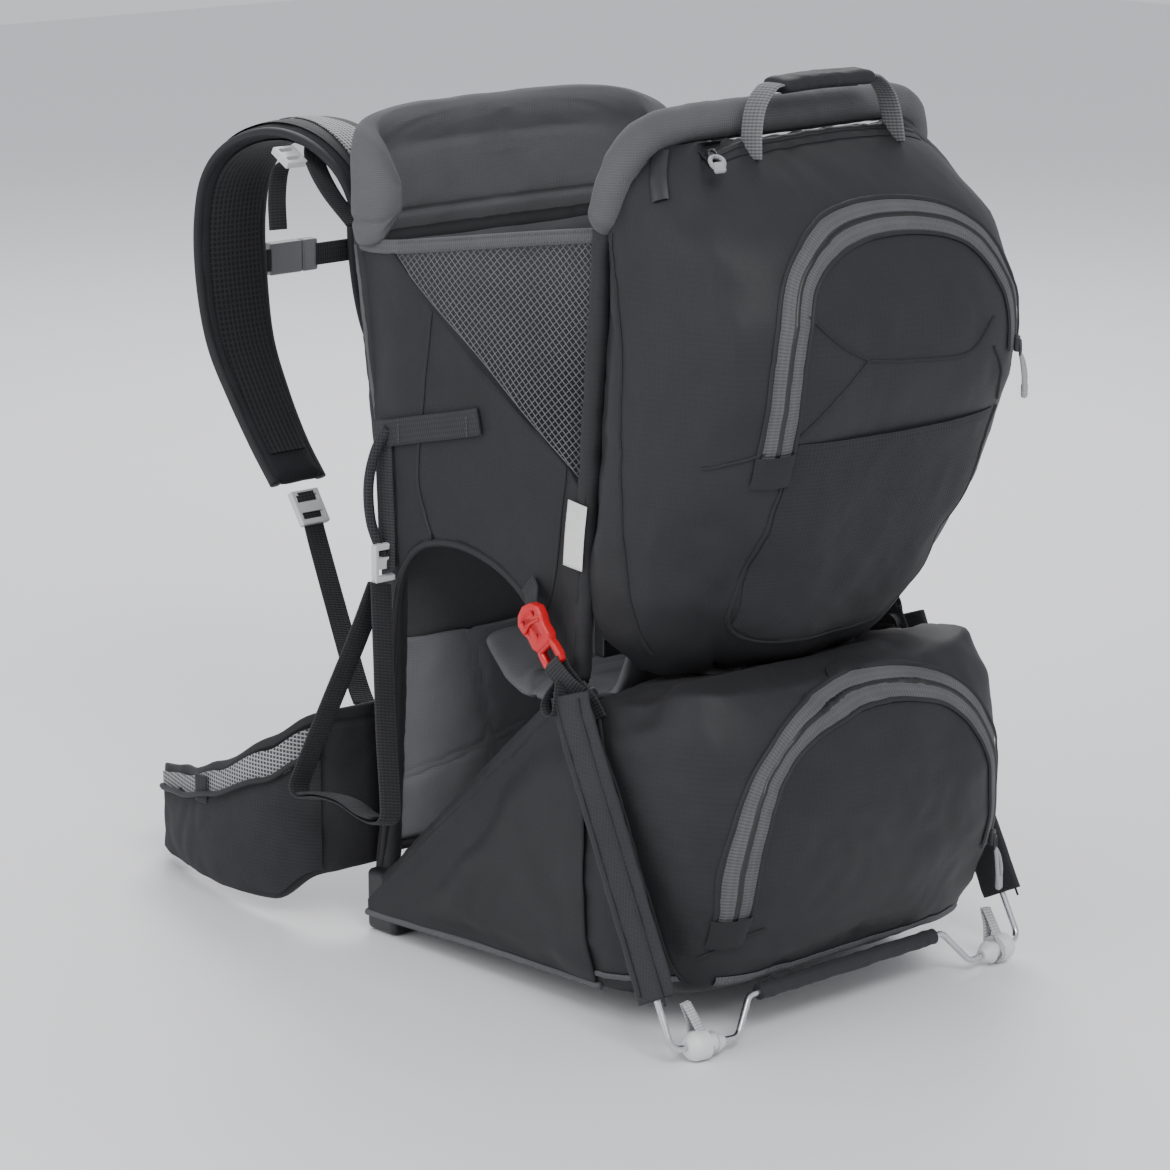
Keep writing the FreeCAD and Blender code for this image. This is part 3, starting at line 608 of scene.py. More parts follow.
def moulded_material(name, color, roughness):
    """Moulded plastic with a fine grain."""
    material, tree, shader = material_base(name, color, roughness)
    mottle = add_group(tree, "mottle", 60.0, 0.08)
    tinted(tree, shader, color, tuple(min(1.0, value * 1.15) for value in color), mottle.outputs[1],
           mottle.outputs[0])
    bumped(tree, shader, mottle.outputs[1], 0.08, 0.0004)
    rough = maths(tree, "ADD", roughness - 0.06, maths(tree, "MULTIPLY", mottle.outputs[1], 0.12))
    tree.links.new(rough, shader.inputs["Roughness"])
    return material


def metal_material(name, color, roughness):
    """Drawn or anodised metal with faint uneven gloss."""
    material, tree, shader = material_base(name, color, roughness, 1.0)
    mottle = add_group(tree, "mottle", 80.0, 0.1)
    tinted(tree, shader, color, color, mottle.outputs[1], mottle.outputs[0])
    rough = maths(tree, "ADD", roughness - 0.05, maths(tree, "MULTIPLY", mottle.outputs[1], 0.12))
    tree.links.new(rough, shader.inputs["Roughness"])
    return material


LOOKS = {}


def toned(color, share):
    """A lighter or darker tone of a colour."""
    return tuple(value * share for value in color)


def make_looks():
    """Every finish on the carrier. A cloth takes its colour, its threads' colour, threads per metre,
    their share, roughness, sheen and relief."""
    finish = bpy.context.scene.carrier_finish
    GROUPS["weave"] = weave_group()
    GROUPS["mottle"] = mottle_group()
    GROUPS["ribs"] = rib_group()
    shell = tuple(finish.shell_color)
    grey = tuple(finish.grey_color)
    LOOKS["shell"] = cloth_material("charcoal_ripstop", shell, toned(shell, 1.9), 230.0, 0.10, 0.58, 0.02,
                                    0.35)
    LOOKS["panel"] = cloth_material("charcoal_panel", toned(shell, 0.9), toned(shell, 1.5), 500.0, 0.3, 0.7,
                                    0.02)
    LOOKS["stretch"] = cloth_material("stretch_knit", toned(shell, 1.0), toned(shell, 1.6), 330.0, 0.35,
                                      0.85, 0.04, 0.7)
    LOOKS["rim"] = cloth_material("grey_spacer", grey, toned(grey, 1.5), 520.0, 0.4, 0.9, 0.06, 0.5)
    LOOKS["pad"] = cloth_material("grey_pad", toned(grey, 1.05), toned(grey, 1.55), 600.0, 0.4, 0.9, 0.06,
                                  0.45)
    LOOKS["lining"] = cloth_material("grey_lining", toned(grey, 2.0), toned(grey, 2.6), 450.0, 0.3, 0.75)
    LOOKS["net"] = cloth_material("net_thread", toned(grey, 1.5), toned(grey, 2.0), 900.0, 0.4, 0.7)
    LOOKS["tape"] = webbing_material("grey_tape", toned(grey, 0.85), toned(grey, 1.3))
    LOOKS["webbing"] = webbing_material("dark_webbing", (0.012, 0.012, 0.014), (0.035, 0.035, 0.038))
    LOOKS["webbing_light"] = webbing_material("light_webbing", (0.30, 0.30, 0.31), (0.5, 0.5, 0.51))
    LOOKS["strap"] = cloth_material("strap_cloth", (0.010, 0.011, 0.013), (0.03, 0.03, 0.033), 480.0, 0.3,
                                    0.8, 0.02)
    LOOKS["lock"] = moulded_material("light_lock", (0.52, 0.52, 0.53), 0.35)
    LOOKS["dark"] = moulded_material("dark_moulding", (0.015, 0.015, 0.017), 0.4)
    LOOKS["red"] = moulded_material("release_red", tuple(finish.buckle_color), 0.32)
    LOOKS["foot"] = moulded_material("foot_moulding", (0.60, 0.60, 0.60), 0.4)
    LOOKS["tube"] = metal_material("anodised_tube", (0.25, 0.25, 0.26), 0.35)
    LOOKS["wire"] = metal_material("stand_wire", (0.62, 0.62, 0.64), 0.25)
    LOOKS["coil"] = moulded_material("zip_coil", (0.010, 0.010, 0.011), 0.45)
    LOOKS["lining_dark"] = cloth_material("dark_lining", toned(grey, 0.8), toned(grey, 1.05), 450.0, 0.3,
                                          0.8)
    LOOKS["spacer"] = cloth_material("spacer_mesh", toned(grey, 0.30), toned(grey, 0.75), 210.0, 0.42, 0.9,
                                     0.2, 0.9)
    LOOKS["spacer_dark"] = cloth_material("dark_spacer_mesh", (0.008, 0.008, 0.009), (0.030, 0.030, 0.033),
                                          230.0, 0.42, 0.9, 0.1, 0.9)
    LOOKS["silver_net"] = cloth_material("silver_net", (0.030, 0.030, 0.032), (0.42, 0.42, 0.43), 300.0,
                                         0.45, 0.6, 0.1, 0.9)
    LOOKS["sleeve"] = cloth_material("sleeve_cloth", toned(shell, 1.35), toned(shell, 2.1), 300.0, 0.25,
                                     0.75)
    LOOKS["handle_web"] = webbing_material("handle_webbing", (0.07, 0.07, 0.073), (0.19, 0.19, 0.195))
    LOOKS["webbing_tube"] = cloth_material("tubular_webbing", (0.012, 0.012, 0.014), (0.05, 0.05, 0.055),
                                           380.0, 0.4, 0.8)
    LOOKS["cord"] = cloth_material("pull_cord", (0.26, 0.26, 0.27), (0.42, 0.42, 0.43), 700.0, 0.4, 0.7)
    LOOKS["grey_lock"] = moulded_material("grey_lock", (0.16, 0.16, 0.165), 0.4)
    LOOKS["label"] = cloth_material("care_label", (0.62, 0.62, 0.60), (0.8, 0.8, 0.8), 700.0, 0.3, 0.7)


def webbing(name, line, width, thickness, up, count, sideways, body, *nodes):
    """A flat strap of dark webbing that moves with one body."""
    strap = band(name, line, width, thickness, up, LOOKS["webbing"], count, sideways=sideways)
    return dress(strap, body, "webbing_dark", *nodes)


# ------------------------------------------------------------------ rear bags

def upright_y(z):
    """How far ahead of the feet the hoop's leaning uprights stand at a height."""
    return 138 - 27 * (z - 250) / 337


def upper_bag_point(a, b, c):
    """Rounded pouch behind the hoop: narrow at its foot, widest and deepest two thirds up."""
    z = 455 + 197 * c
    hoop_y = upright_y(z)
    front_wide = table(z, [(258, 118), (296, 148), (340, 153), (600, 153), (626, 150), (642, 140),
                           (652, 124)])
    rear_wide = table(z, [(258, 62), (280, 88), (330, 116), (420, 136), (520, 143), (590, 138), (630, 118),
                          (652, 88)])
    rear = table(z, [(258, 58), (280, 34), (330, 6), (400, -24), (480, -46), (530, -47), (580, -28),
                     (615, 2), (640, 32), (652, 48)])
    front = table(z, [(258, 104), (300, 114), (560, 104), (600, 94), (630, 82), (652, 70)])
    edge = table(z, [(258, 108), (296, 128), (340, hoop_y - 2), (590, hoop_y), (620, 106), (652, 93)])
    front += (edge - front) * abs(a) ** 4
    depth = (1 - b) / 2
    wide = front_wide + (rear_wide - front_wide) * depth ** 1.6
    side_swell = 6 * math.sin(math.pi * depth) * (1 - c ** 4)
    corner = 30 * abs(a) ** 4 * depth ** 3
    y = front + (rear - front) * depth + corner
    cap = 5 * (1 - a * a) * (1 - b * b) * (1 if abs(c) > 0.999 else 0)
    return spot(a * (wide + side_swell * abs(a)), y, z + math.copysign(cap, c))


def lower_bag_point(a, b, c):
    """Wedge under the seat: low at the front, deep and swelling behind the stand's legs."""
    depth = (1 - b) / 2
    y_far = table(c, [(-1, 8), (-0.75, -8), (-0.3, -33), (0.2, -36), (0.7, -22), (1, -4)])
    y = 386 + (y_far - 386) * depth
    top = table(y, [(-40, 250), (-8, 268), (30, 266), (62, 254), (110, 246), (150, 216), (350, 42),
                    (386, 34)])
    floor = table(y, [(-40, 60), (-8, 42), (40, 32), (110, 22), (200, 19), (350, 16), (386, 11)])
    z = (top + floor) / 2 + (top - floor) / 2 * c
    wide = table(y, [(-40, 132), (-20, 146), (10, 156), (80, 161), (160, 158), (260, 152), (350, 151),
                     (386, 149)])
    swell = 4 * (1 - c * c)
    tuck = 10 * ease(0.7, 1.0, abs(c)) * ease(140, 40, y)
    corner = 22 * abs(a) ** 5 * depth ** 4
    return spot(a * (wide + swell - tuck), y + corner, z)


BAG = {}


class CARRIER_OT_bags(bpy.types.Operator):
    """Rear storage bags, swelled as filled cloth"""
    bl_idname = "carrier.bags"
    bl_label = "Rear bags"

    def execute(self, context):
        upper = soft_block("upper_bag_shell", 26, upper_bag_point, LOOKS["shell"])
        subdivide(upper)
        inflate(upper, 2.5, 0.006, 12)
        crease(upper, 0.0035, 13.0, (1.0, 1.0, 0.7), 3.1, lambda co: 0.4 + 0.6 * ease(0.50, 0.30, co.z))
        crease(upper, 0.0015, 34.0, (1.0, 1.0, 1.0), 8.4)
        dress(upper, "frame", "shell", "upper_bag")
        lower = soft_block("lower_bag_shell", 26, lower_bag_point, LOOKS["shell"])
        subdivide(lower)
        inflate(lower, 2.5, 0.005, 12)
        crease(lower, 0.0032, 12.0, (1.0, 0.8, 1.2), 5.7, lambda co: 0.35 + 0.65 * ease(-0.34, -0.1, co.y))
        crease(lower, 0.0014, 36.0, (1.0, 1.0, 1.0), 2.2)
        dress(lower, "frame", "shell", "lower_bag")
        BAG["upper"] = surface_of(upper)
        BAG["lower"] = surface_of(lower)
        return {"FINISHED"}


def rear_line(pairs):
    """Points behind the bags, from (x, z) pairs, ready to be laid on their rear faces."""
    return [spot(x, -70, z) for x, z in pairs]


class CARRIER_OT_zips(bpy.types.Operator):
    """Arched zips with grey tape, their coils, and the seams and pocket of the rear faces"""
    bl_idname = "carrier.zips"
    bl_label = "Zips and seams"

    def execute(self, context):
        arches = {
            "upper": [(-111, 432), (-113, 480), (-108, 530), (-92, 566), (-62, 588), (-20, 598),
                      (30, 597), (74, 586), (104, 562), (120, 528), (124, 492)],
            "lower": [(-132, 92), (-132, 140), (-122, 186), (-98, 220), (-60, 242), (0, 252),
                      (60, 244), (98, 222), (122, 186), (132, 140), (133, 104)],
        }
        for which, pairs in arches.items():
            line = rear_line(pairs)
            tape = laid_band(which + "_zip_tape", line, 0.020, 0.0008, 0.0012, BAG[which], FORWARD,
                             LOOKS["tape"], 150, 6)
            dress(tape, "frame", "trim")
            coil = laid_band(which + "_zip_coil", line, 0.0036, 0.0019, 0.0010, BAG[which], FORWARD,
                             LOOKS["coil"], 560, 4, 0.00035)
            dress(coil, "frame", "zip")
            for offset in (-0.0115, 0.0115):
                even = even_line(line, 30)
                rows = [point + side * offset for point, (side, _) in zip(even, frames_along(even, FORWARD))]
                piping = laid_band("%s_zip_piping_%d" % (which, offset > 0), rows, 0.003, 0.0012, 0.0014,
                                   BAG[which], FORWARD, LOOKS["shell"], 120, 3)
                dress(piping, "frame", "shell")
            foot_x, foot_z = pairs[0]
            garage_line = rear_line([(foot_x - 1, foot_z + 12), (foot_x, foot_z), (foot_x, foot_z - 12)])
            garage = laid_band(which + "_zip_garage", garage_line, 0.026, 0.0025, 0.0022, BAG[which],
                               FORWARD,
                               LOOKS["panel"], 14, 8)
            dress(garage, "frame", "shell")
        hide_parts("zip_coils")
        seams = {
            "yoke_left": ("upper", [(-146, 432), (-130, 440), (-106, 452)]),
            "panel_left": ("upper", [(-104, 548), (-72, 520), (-44, 505)]),
            "panel_low": ("upper", [(-44, 505), (-75, 478), (-102, 452)]),
            "panel_top": ("upper", [(-44, 505), (0, 500), (60, 498), (90, 520)]),
            "panel_right": ("upper", [(90, 498), (104, 480), (110, 455)]),
            "pocket": ("upper", [(-98, 450), (-103, 400), (-103, 330), (-94, 304), (-70, 290), (-20, 285),
                                 (30, 286), (66, 296), (86, 326), (100, 380), (112, 450)]),
            "side_foot": ("lower", [(-148, 70), (-128, 82), (-104, 90)]),
        }
        for label, (which, pairs) in seams.items():
            seam = laid_band("seam_" + label, rear_line(pairs), 0.0024, 0.0004, 0.0011, BAG[which], FORWARD,
                             LOOKS["panel"], 90, 3)
            dress(seam, "frame", "shell")
        pocket_rows = [(452, -97, 106), (400, -101, 102), (340, -101, 92), (306, -94, 78), (294, -76, 62),
                       (287, -44, 38)]

        def pocket_place(along, sideways):
            z = 450 - 163 * along
            low = table(-z, [(-row[0], row[1]) for row in pocket_rows])
            high = table(-z, [(-row[0], row[2]) for row in pocket_rows])
            x = low + (high - low) * sideways
            rise = 0.0018 * (1 - abs(2 * sideways - 1) ** 8) * ease(0.0, 0.04, along) * ease(1.0, 0.95,
                                                                                             along)
            sag = 0.003 * math.sin(math.pi * sideways) * ease(0.3, 0.0, along)
            return lay_on(BAG["upper"], spot(x, -120, z), FORWARD, 0.0006 + rise + sag)[0]

        pocket = grid_piece("stretch_pocket", 60, 60, pocket_place, LOOKS["stretch"], size=(0.18, 0.2))
        dress(pocket, "frame", "shell")
        return {"FINISHED"}


# ------------------------------------------------------------------ frame covers and rim

def both_ways(points, sign):
    """The same line on one side, from (x, y, z) rows given for the positive side."""
    return [spot(sign * x, y, z) for x, y, z in points]


def mirrored_line(points):
    """A line that runs up one side and down the other, from its first half."""
    half = [spot(-x, y, z) for x, y, z in points]
    return half + [Vector((-point.x, point.y, point.z)) for point in reversed(half) if abs(point.x) > 1e-6]


UPRIGHT = [(150, 138, 256), (150, 125, 420), (150, 111, 592)]
DIAGONAL = [(146, 364, 42), (147, 300, 101), (148, 230, 166), (149, 160, 230), (150, 139, 256)]
RAIL = [(135, 380, 44), (135, 372, 160), (135, 367, 270), (135, 371, 320), (135, 385, 430), (135, 401, 552)]
RIM = [(150, 111, 589), (150, 106, 606), (149, 101, 624), (144, 96, 641), (132, 91, 655), (110, 87, 662),
       (70, 83, 664), (30, 81, 664), (0, 80, 664)]


class CARRIER_OT_covers(bpy.types.Operator):
    """Cloth sleeves over the tubes and the padded grey rim"""
    bl_idname = "carrier.covers"
    bl_label = "Tube covers and rim"

    def execute(self, context):
        for label, sign in SIDES.items():
            for part, points, radius in (
                ("upright", UPRIGHT, 0.0085), ("diagonal", DIAGONAL, 0.0092), ("rail", RAIL, 0.0084),
            ):
                sleeve = tube("%s_sleeve_%s" % (part, label), both_ways(points, sign), radius,
                              LOOKS["shell"],
                              90, 16, 1.0, SIDE_X)
                crease(sleeve, 0.0012, 60.0, seed=2.0 + sign)
                dress(sleeve, "frame", "shell")
        top_rail = mirrored_line([(135, 398, 522), (134, 400, 534), (126, 400, 543), (110, 400, 545.5),
                                  (60, 400, 545), (0, 400, 545)])
        sleeve = tube("top_rail_sleeve", top_rail, 0.0082, LOOKS["shell"], 120, 16, 1.0, FORWARD)
        crease(sleeve, 0.0010, 60.0, seed=6.0)
        dress(sleeve, "frame", "shell")
        rim_line = mirrored_line(RIM)
        rim = tube("rim_cushion", rim_line, lambda t: 0.0142 * min(1.0,
                                                                   math.sqrt(0.25 + 30 * min(t, 1 - t))),
                   LOOKS["rim"], 150, 24, 1.0, Vector((0, 1, 0.3)))
        crease(rim, 0.0008, 50.0, seed=4.0)
        dress(rim, "frame", "rim", "rim_pad")
        seam_line = []
        for point in even_line(rim_line, 60):
            share = ease(0.60, 0.655, point.z)
            seam_line.append(point + Vector((0, -1, -1.1 * share)).normalized() * 0.0136)
        seam = tube("rim_seam", seam_line, 0.0016, LOOKS["shell"], 160, 8, 1.0, Vector((0, 1, 0.3)))
        dress(seam, "frame", "shell")
        return {"FINISHED"}


# ------------------------------------------------------------------ sides, net and linings

ARCH = [(162, 250), (174, 280), (198, 308), (234, 326), (279, 332), (320, 321), (344, 288), (356, 232),
        (365, 160), (374, 90), (384, 42)]
PANEL_EDGE = [(136, 262), (130, 330), (122, 398), (180, 430), (248, 470), (305, 513), (346, 545), (372, 550),
              (399, 548),
              (393, 480), (384, 420), (374, 320), (372, 270), (376, 160), (383, 90), (389, 38)]


def fabric_x(y, z):
    """How far out the side cloth stands: over the hoop behind, in to the rail in front."""
    return 151.5 + 6 * (1 - ease(2, 26, y - upright_y(z))) - 11 * ease(338, 392, y)


class CARRIER_OT_sides(bpy.types.Operator):
    """Side panels with their leg openings, the nets above them and the bound edges"""
    bl_idname = "carrier.sides"
    bl_label = "Sides and nets"

    def execute(self, context):
        inner = even_line([spot(0, y, z) for y, z in ARCH], 120)
        outer = even_line([spot(0, y, z) for y, z in PANEL_EDGE], 120, 1)
        for label, sign in SIDES.items():
            def place(along, outwards):
                index = min(int(round(along * 120)), 120)
                point = inner[index].lerp(outer[index], outwards)
                x = fabric_x(point.y / MM + FOOT_LINE, point.z / MM)
                return Vector((sign * x * MM, point.y, point.z))

            panel = grid_piece("side_cloth_" + label, 26, 120, place, LOOKS["panel"], 0.0016, (1.0, 0.2))
            apply_all(panel)
            crease(panel, 0.0022, 18.0, (1, 1, 0.6), 6.0 + sign)
            dress(panel, "frame", "shell", "side_panel_" + label)
            binding = tube("leg_binding_" + label, [place(i / 40, 0.0) for i in range(41)], 0.0032,
                           LOOKS["shell"], 160, 8, 1.0, SIDE_X)
            dress(binding, "frame", "shell")
            front_rows = [(142, 402, 545), (142, 390, 470), (141, 380, 400), (141, 372, 310)]
            edge = tube("front_piping_" + label, both_ways(front_rows, sign), 0.0022, LOOKS["tape"], 60, 8,
                        1.0, SIDE_X)
            dress(edge, "frame", "trim")
            for index, rows in enumerate((
                [(300, 326), (318, 372), (312, 430), (300, 508)],
                [(178, 287), (162, 330), (150, 412)],
            )):
                line = [spot(sign * 200, y, z) for y, z in rows]
                seam = laid_band("side_seam_%d_%s" % (index, label), line, 0.0026, 0.0006, 0.001,
                                 surface_of(panel),
                                 Vector((-sign, 0, 0)), LOOKS["shell"], 70, 3)
                dress(seam, "frame", "shell")
            self.net(label, sign)
            self.gusset(label, sign)
            trim_rows = [(152, 110, 587), (153, 180, 576.5), (153, 270, 562), (151, 340, 551),
                         (146, 376, 547),
                         (141, 400, 546)]
            trim = band("side_binding_" + label, both_ways(trim_rows, sign), 0.011, 0.0034, SIDE_X,
                        LOOKS["tape"], 90,
                        sideways=UP)
            dress(trim, "frame", "trim")
            if sign < 0:
                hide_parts("side_trims")
            for row in (-3.4, 3.4):
                thread_rows = [(155, 112, 586.6 + row), (155, 180, 576.4 + row), (155, 270, 562 + row),
                               (153, 340, 551 + row)]
                thread = stitches("binding_thread_%s_%d" % (label, row > 0), both_ways(thread_rows, sign),
                                  0.0036,
                                  SIDE_X, LOOKS["rim"])
                dress(thread, "frame", "trim")
        return {"FINISHED"}

    def gusset(self, label, sign):
        """Lower side cloth, from the hoop's diagonal down to the bag's bottom edge."""
        def place(along, down):
            y = 384 - 276 * along
            top = diagonal_z(y) if y > 140 else 248 + (140 - y) * 0.12
            low = table(y, [(108, 26), (200, 23), (384, 15)])
            z = top + (low - top) * down
            hit = BAG["lower"].ray_cast(spot(sign * 240, y, z), Vector((-sign, 0, 0)))[0]
            x = max(abs(hit.x) + 0.0018, 0.1548) if hit else 0.1555
            return Vector((sign * x, spot(0, y, 0).y, z * MM))

        cloth = grid_piece("lower_side_cloth_" + label, 40, 60, place, LOOKS["shell"])
        round_off(cloth, 6)
        wall = cloth.modifiers.new("wall", "SOLIDIFY")
        wall.thickness = 0.0012
        apply_all(cloth)
        crease(cloth, 0.0014, 16.0, (1, 1, 1), 30.0 + sign)
        dress(cloth, "frame", "shell")
        hem = tube("side_floor_trim_" + label, [place(step / 40, 1.0) for step in range(41)], 0.0030,
                   LOOKS["tape"],
                   120, 8, 1.0, SIDE_X)
        dress(hem, "frame", "trim")

    def net(self, label, sign):
        """Diamond net across the upper triangle, knotted from real threads."""
        corners = [(120, 396), (109, 588), (356, 549)]
        bm = bmesh.new()
        bmesh.ops.create_grid(bm, x_segments=84, y_segments=84, size=0.19)
        bmesh.ops.rotate(bm, cent=(0, 0, 0), matrix=Matrix.Rotation(math.radians(45), 3, "Z"),
                         verts=bm.verts)
        bmesh.ops.rotate(bm, cent=(0, 0, 0), matrix=Matrix(((0, 0, 1), (1, 0, 0), (0, 1, 0))),
                         verts=bm.verts)
        bmesh.ops.scale(bm, vec=(1, 1.12, 0.95), verts=bm.verts)
        bmesh.ops.translate(bm, vec=spot(0, 190, 512), verts=bm.verts)
        inside = spot(0, 180, 520)
        for first, second in zip(corners, corners[1:] + corners[:1]):
            start = spot(0, *first)
            out = (spot(0, *second) - start).cross(SIDE_X).normalized()
            if out.dot(inside - start) > 0:
                out = -out
            bmesh.ops.bisect_plane(bm, geom=list(bm.verts) + list(bm.edges) + list(bm.faces), plane_co=start,
                                   plane_no=out, clear_outer=True)
        for vert in bm.verts:
            bow = math.sin(vert.co.y * 38) * math.sin(vert.co.z * 31) * 0.0015
            vert.co.x = sign * (0.1515 + bow)
        net = finish_mesh("side_net_" + label, bm, LOOKS["net"], False)
        wire = net.modifiers.new("threads", "WIREFRAME")
        wire.thickness = 0.00115
        wire.use_even_offset = False
        apply_all(net)
        dress(net, "frame", "mesh", "side_mesh_" + label)


FRONT_LINING = [(62, 370), (280, 356), (400, 372), (545, 390)]


def diagonal_z(y):
    """Height of the hoop's diagonals above ground, at a distance from the feet."""
    return 48 + (358 - y) * 202 / 220


def floor_lining(x, y):
    """Height of the cloth trough between the diagonals."""
    return diagonal_z(y) + 6 - 22 * (1 - (x / 146) ** 2)


class CARRIER_OT_linings(bpy.types.Operator):
    """Linings of the child's space, the saddle, the back pad and the shoulder pads"""
    bl_idname = "carrier.linings"
    bl_label = "Child's space"

    def execute(self, context):
        def front(along, across):
            z = 62 + 483 * along
            x = -138 + 276 * across
            y = table(z, FRONT_LINING) + 10 * abs(x / 138) ** 4
            return spot(x, y, z)

        def front_low(along, across):
            point = front(0.02 + 0.345 * along, across)
            quilt = 0.0035 * (1 - abs(2 * across - 1) ** 6) * math.sin(math.pi * along) ** 0.5
            return point - FORWARD * (0.003 + quilt)

        low = grid_piece("front_lining_low", 50, 40, front_low, LOOKS["lining"], 0.0016, (0.17, 0.27))
        apply_all(low)
        sew(low, 0.0022, 0.0026, lambda co: min(abs(abs(co.x) - 0.050 - 0.25 * (co.z - 0.15)),
                                                abs(co.z - 0.150 + 0.2 * abs(co.x))))
        crease(low, 0.0016, 18.0, seed=10.0)
        dress(low, "frame", "trim")
        lining = grid_piece("front_lining", 40, 60, front, LOOKS["lining_dark"], 0.0016, (0.48, 0.27))
        apply_all(lining)
        crease(lining, 0.0020, 16.0, seed=9.0)
        dress(lining, "frame", "trim", "child_front_lining")

        def floor(along, across):
            y = 352 - 200 * along
            x = -146 + 292 * across
            return spot(x, y, floor_lining(x, y))

        trough = grid_piece("floor_lining", 50, 44, floor, LOOKS["lining"], 0.0014, (0.28, 0.29))
        apply_all(trough)
        crease(trough, 0.0016, 20.0, seed=3.0)
        dress(trough, "frame", "trim")
        ground = surface_of(trough)
        quilt_rows = ([(-140, 262), (0, 256), (140, 262)], [(-140, 200), (0, 196), (140, 200)],
                      [(-100, 340), (-92, 200)], [(100, 340), (92, 200)])
        for index, rows in enumerate(quilt_rows):
            seam = laid_band("floor_seam_%d" % index, [spot(x, y, 300) for x, y in rows], 0.003, 0.0006,
                             0.0012, ground,
                             DOWN, LOOKS["lining_dark"], 60, 3)
            dress(seam, "frame", "trim")
        seat_line = [spot(0, y, z) for y, z in
                     ((160, 272), (172, 254), (206, 208), (250, 199), (298, 197), (320, 212), (336, 240))]
        seat = band("saddle", seat_line, lambda t: 0.124 + 0.026 * abs(2 * t - 1) ** 2, 0.017, UP,
                    LOOKS["lining"], 60, 0.001,
                    10, SIDE_X, 0.04)
        subdivide(seat)
        inflate(seat, 3.0, 0.003, 10)
        sew(seat, 0.0026, 0.0028, lambda co: min(abs(abs(co.x) - 0.040), abs(co.y - spot(0, 214, 0).y),
                                                 abs(co.y - spot(0, 290, 0).y)))
        crease(seat, 0.0012, 30.0, seed=5.0)
        dress(seat, "seat", "shell", "child_seat")
        back_line = [spot(0, y, z) for y, z in ((136, 294), (134, 400), (134, 520), (133, 566), (131, 586),
                                                (129, 597))]
        back = band("child_back_pad", back_line, lambda t: 0.236 - 0.05 * t ** 3 - 0.11 * ease(0.86, 1.0, t),
                    0.015, FORWARD,
                    LOOKS["lining_dark"], 80, 0.0, 12, SIDE_X, 0.03)
        subdivide(back)
        inflate(back, 3.0, 0.004, 10)
        sew(back, 0.003, 0.0032, lambda co: min(abs(abs(co.x) - 0.018), abs(abs(co.x) - 0.072),
                                                abs(co.z - 0.430)))
        dress(back, "frame", "pad", "child_back_panel")
        strip_line = [spot(x, 128 + 4 * (x / 60) ** 2, 601 - 15 * (abs(x) / 62) ** 2.4)
                      for x in range(-60, 61, 12)]
        strip = tube("back_pad_strip", strip_line, 0.0042, LOOKS["rim"], 60, 10, 0.7)
        dress(strip, "frame", "trim")
        for label, sign in SIDES.items():
            line = both_ways([(52, 156, 414), (46, 155, 480), (43, 154, 540), (42, 158, 572), (43, 152, 592),
                              (46, 141, 602), (52, 128, 596)], sign)
            pad = band("child_shoulder_pad_" + label, line, lambda t: 0.034 - 0.004 * math.cos(6 * t), 0.010,
                       FORWARD,
                       LOOKS["strap"], 80, 0.0, 8, SIDE_X, 0.05)
            crease(pad, 0.001, 40.0, seed=sign + 2.0)
            dress(pad, "frame", "pad")
            even = even_line(line, 40)
            pairs = frames_along(even, FORWARD, SIDE_X)
            for edge in (-1, 1):
                rows = [point + side * edge * 0.0165 for point, (side, _) in zip(even, pairs)]
                piping = tube("shoulder_piping_%s_%d" % (label, edge > 0), rows, 0.0018, LOOKS["tape"], 90,
                              8, 1.0,
                              SIDE_X)
                dress(piping, "frame", "trim")
            web_rows = [(52, 156, 418), (46, 176, 360), (28, 214, 300), (12, 252, 270)]
            web = band("child_webbing_" + label, both_ways(web_rows, sign), 0.015, 0.0016, FORWARD,
                       LOOKS["webbing"], 50,
                       sideways=SIDE_X)
            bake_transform(web)
        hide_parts("child_harness_pads")
        return {"FINISHED"}


# ------------------------------------------------------------------ headrest, back and lumbar pads

COLLAR = [(138, 352), (149, 362), (151, 380), (142, 396), (118, 403), (70, 407), (0, 409)]


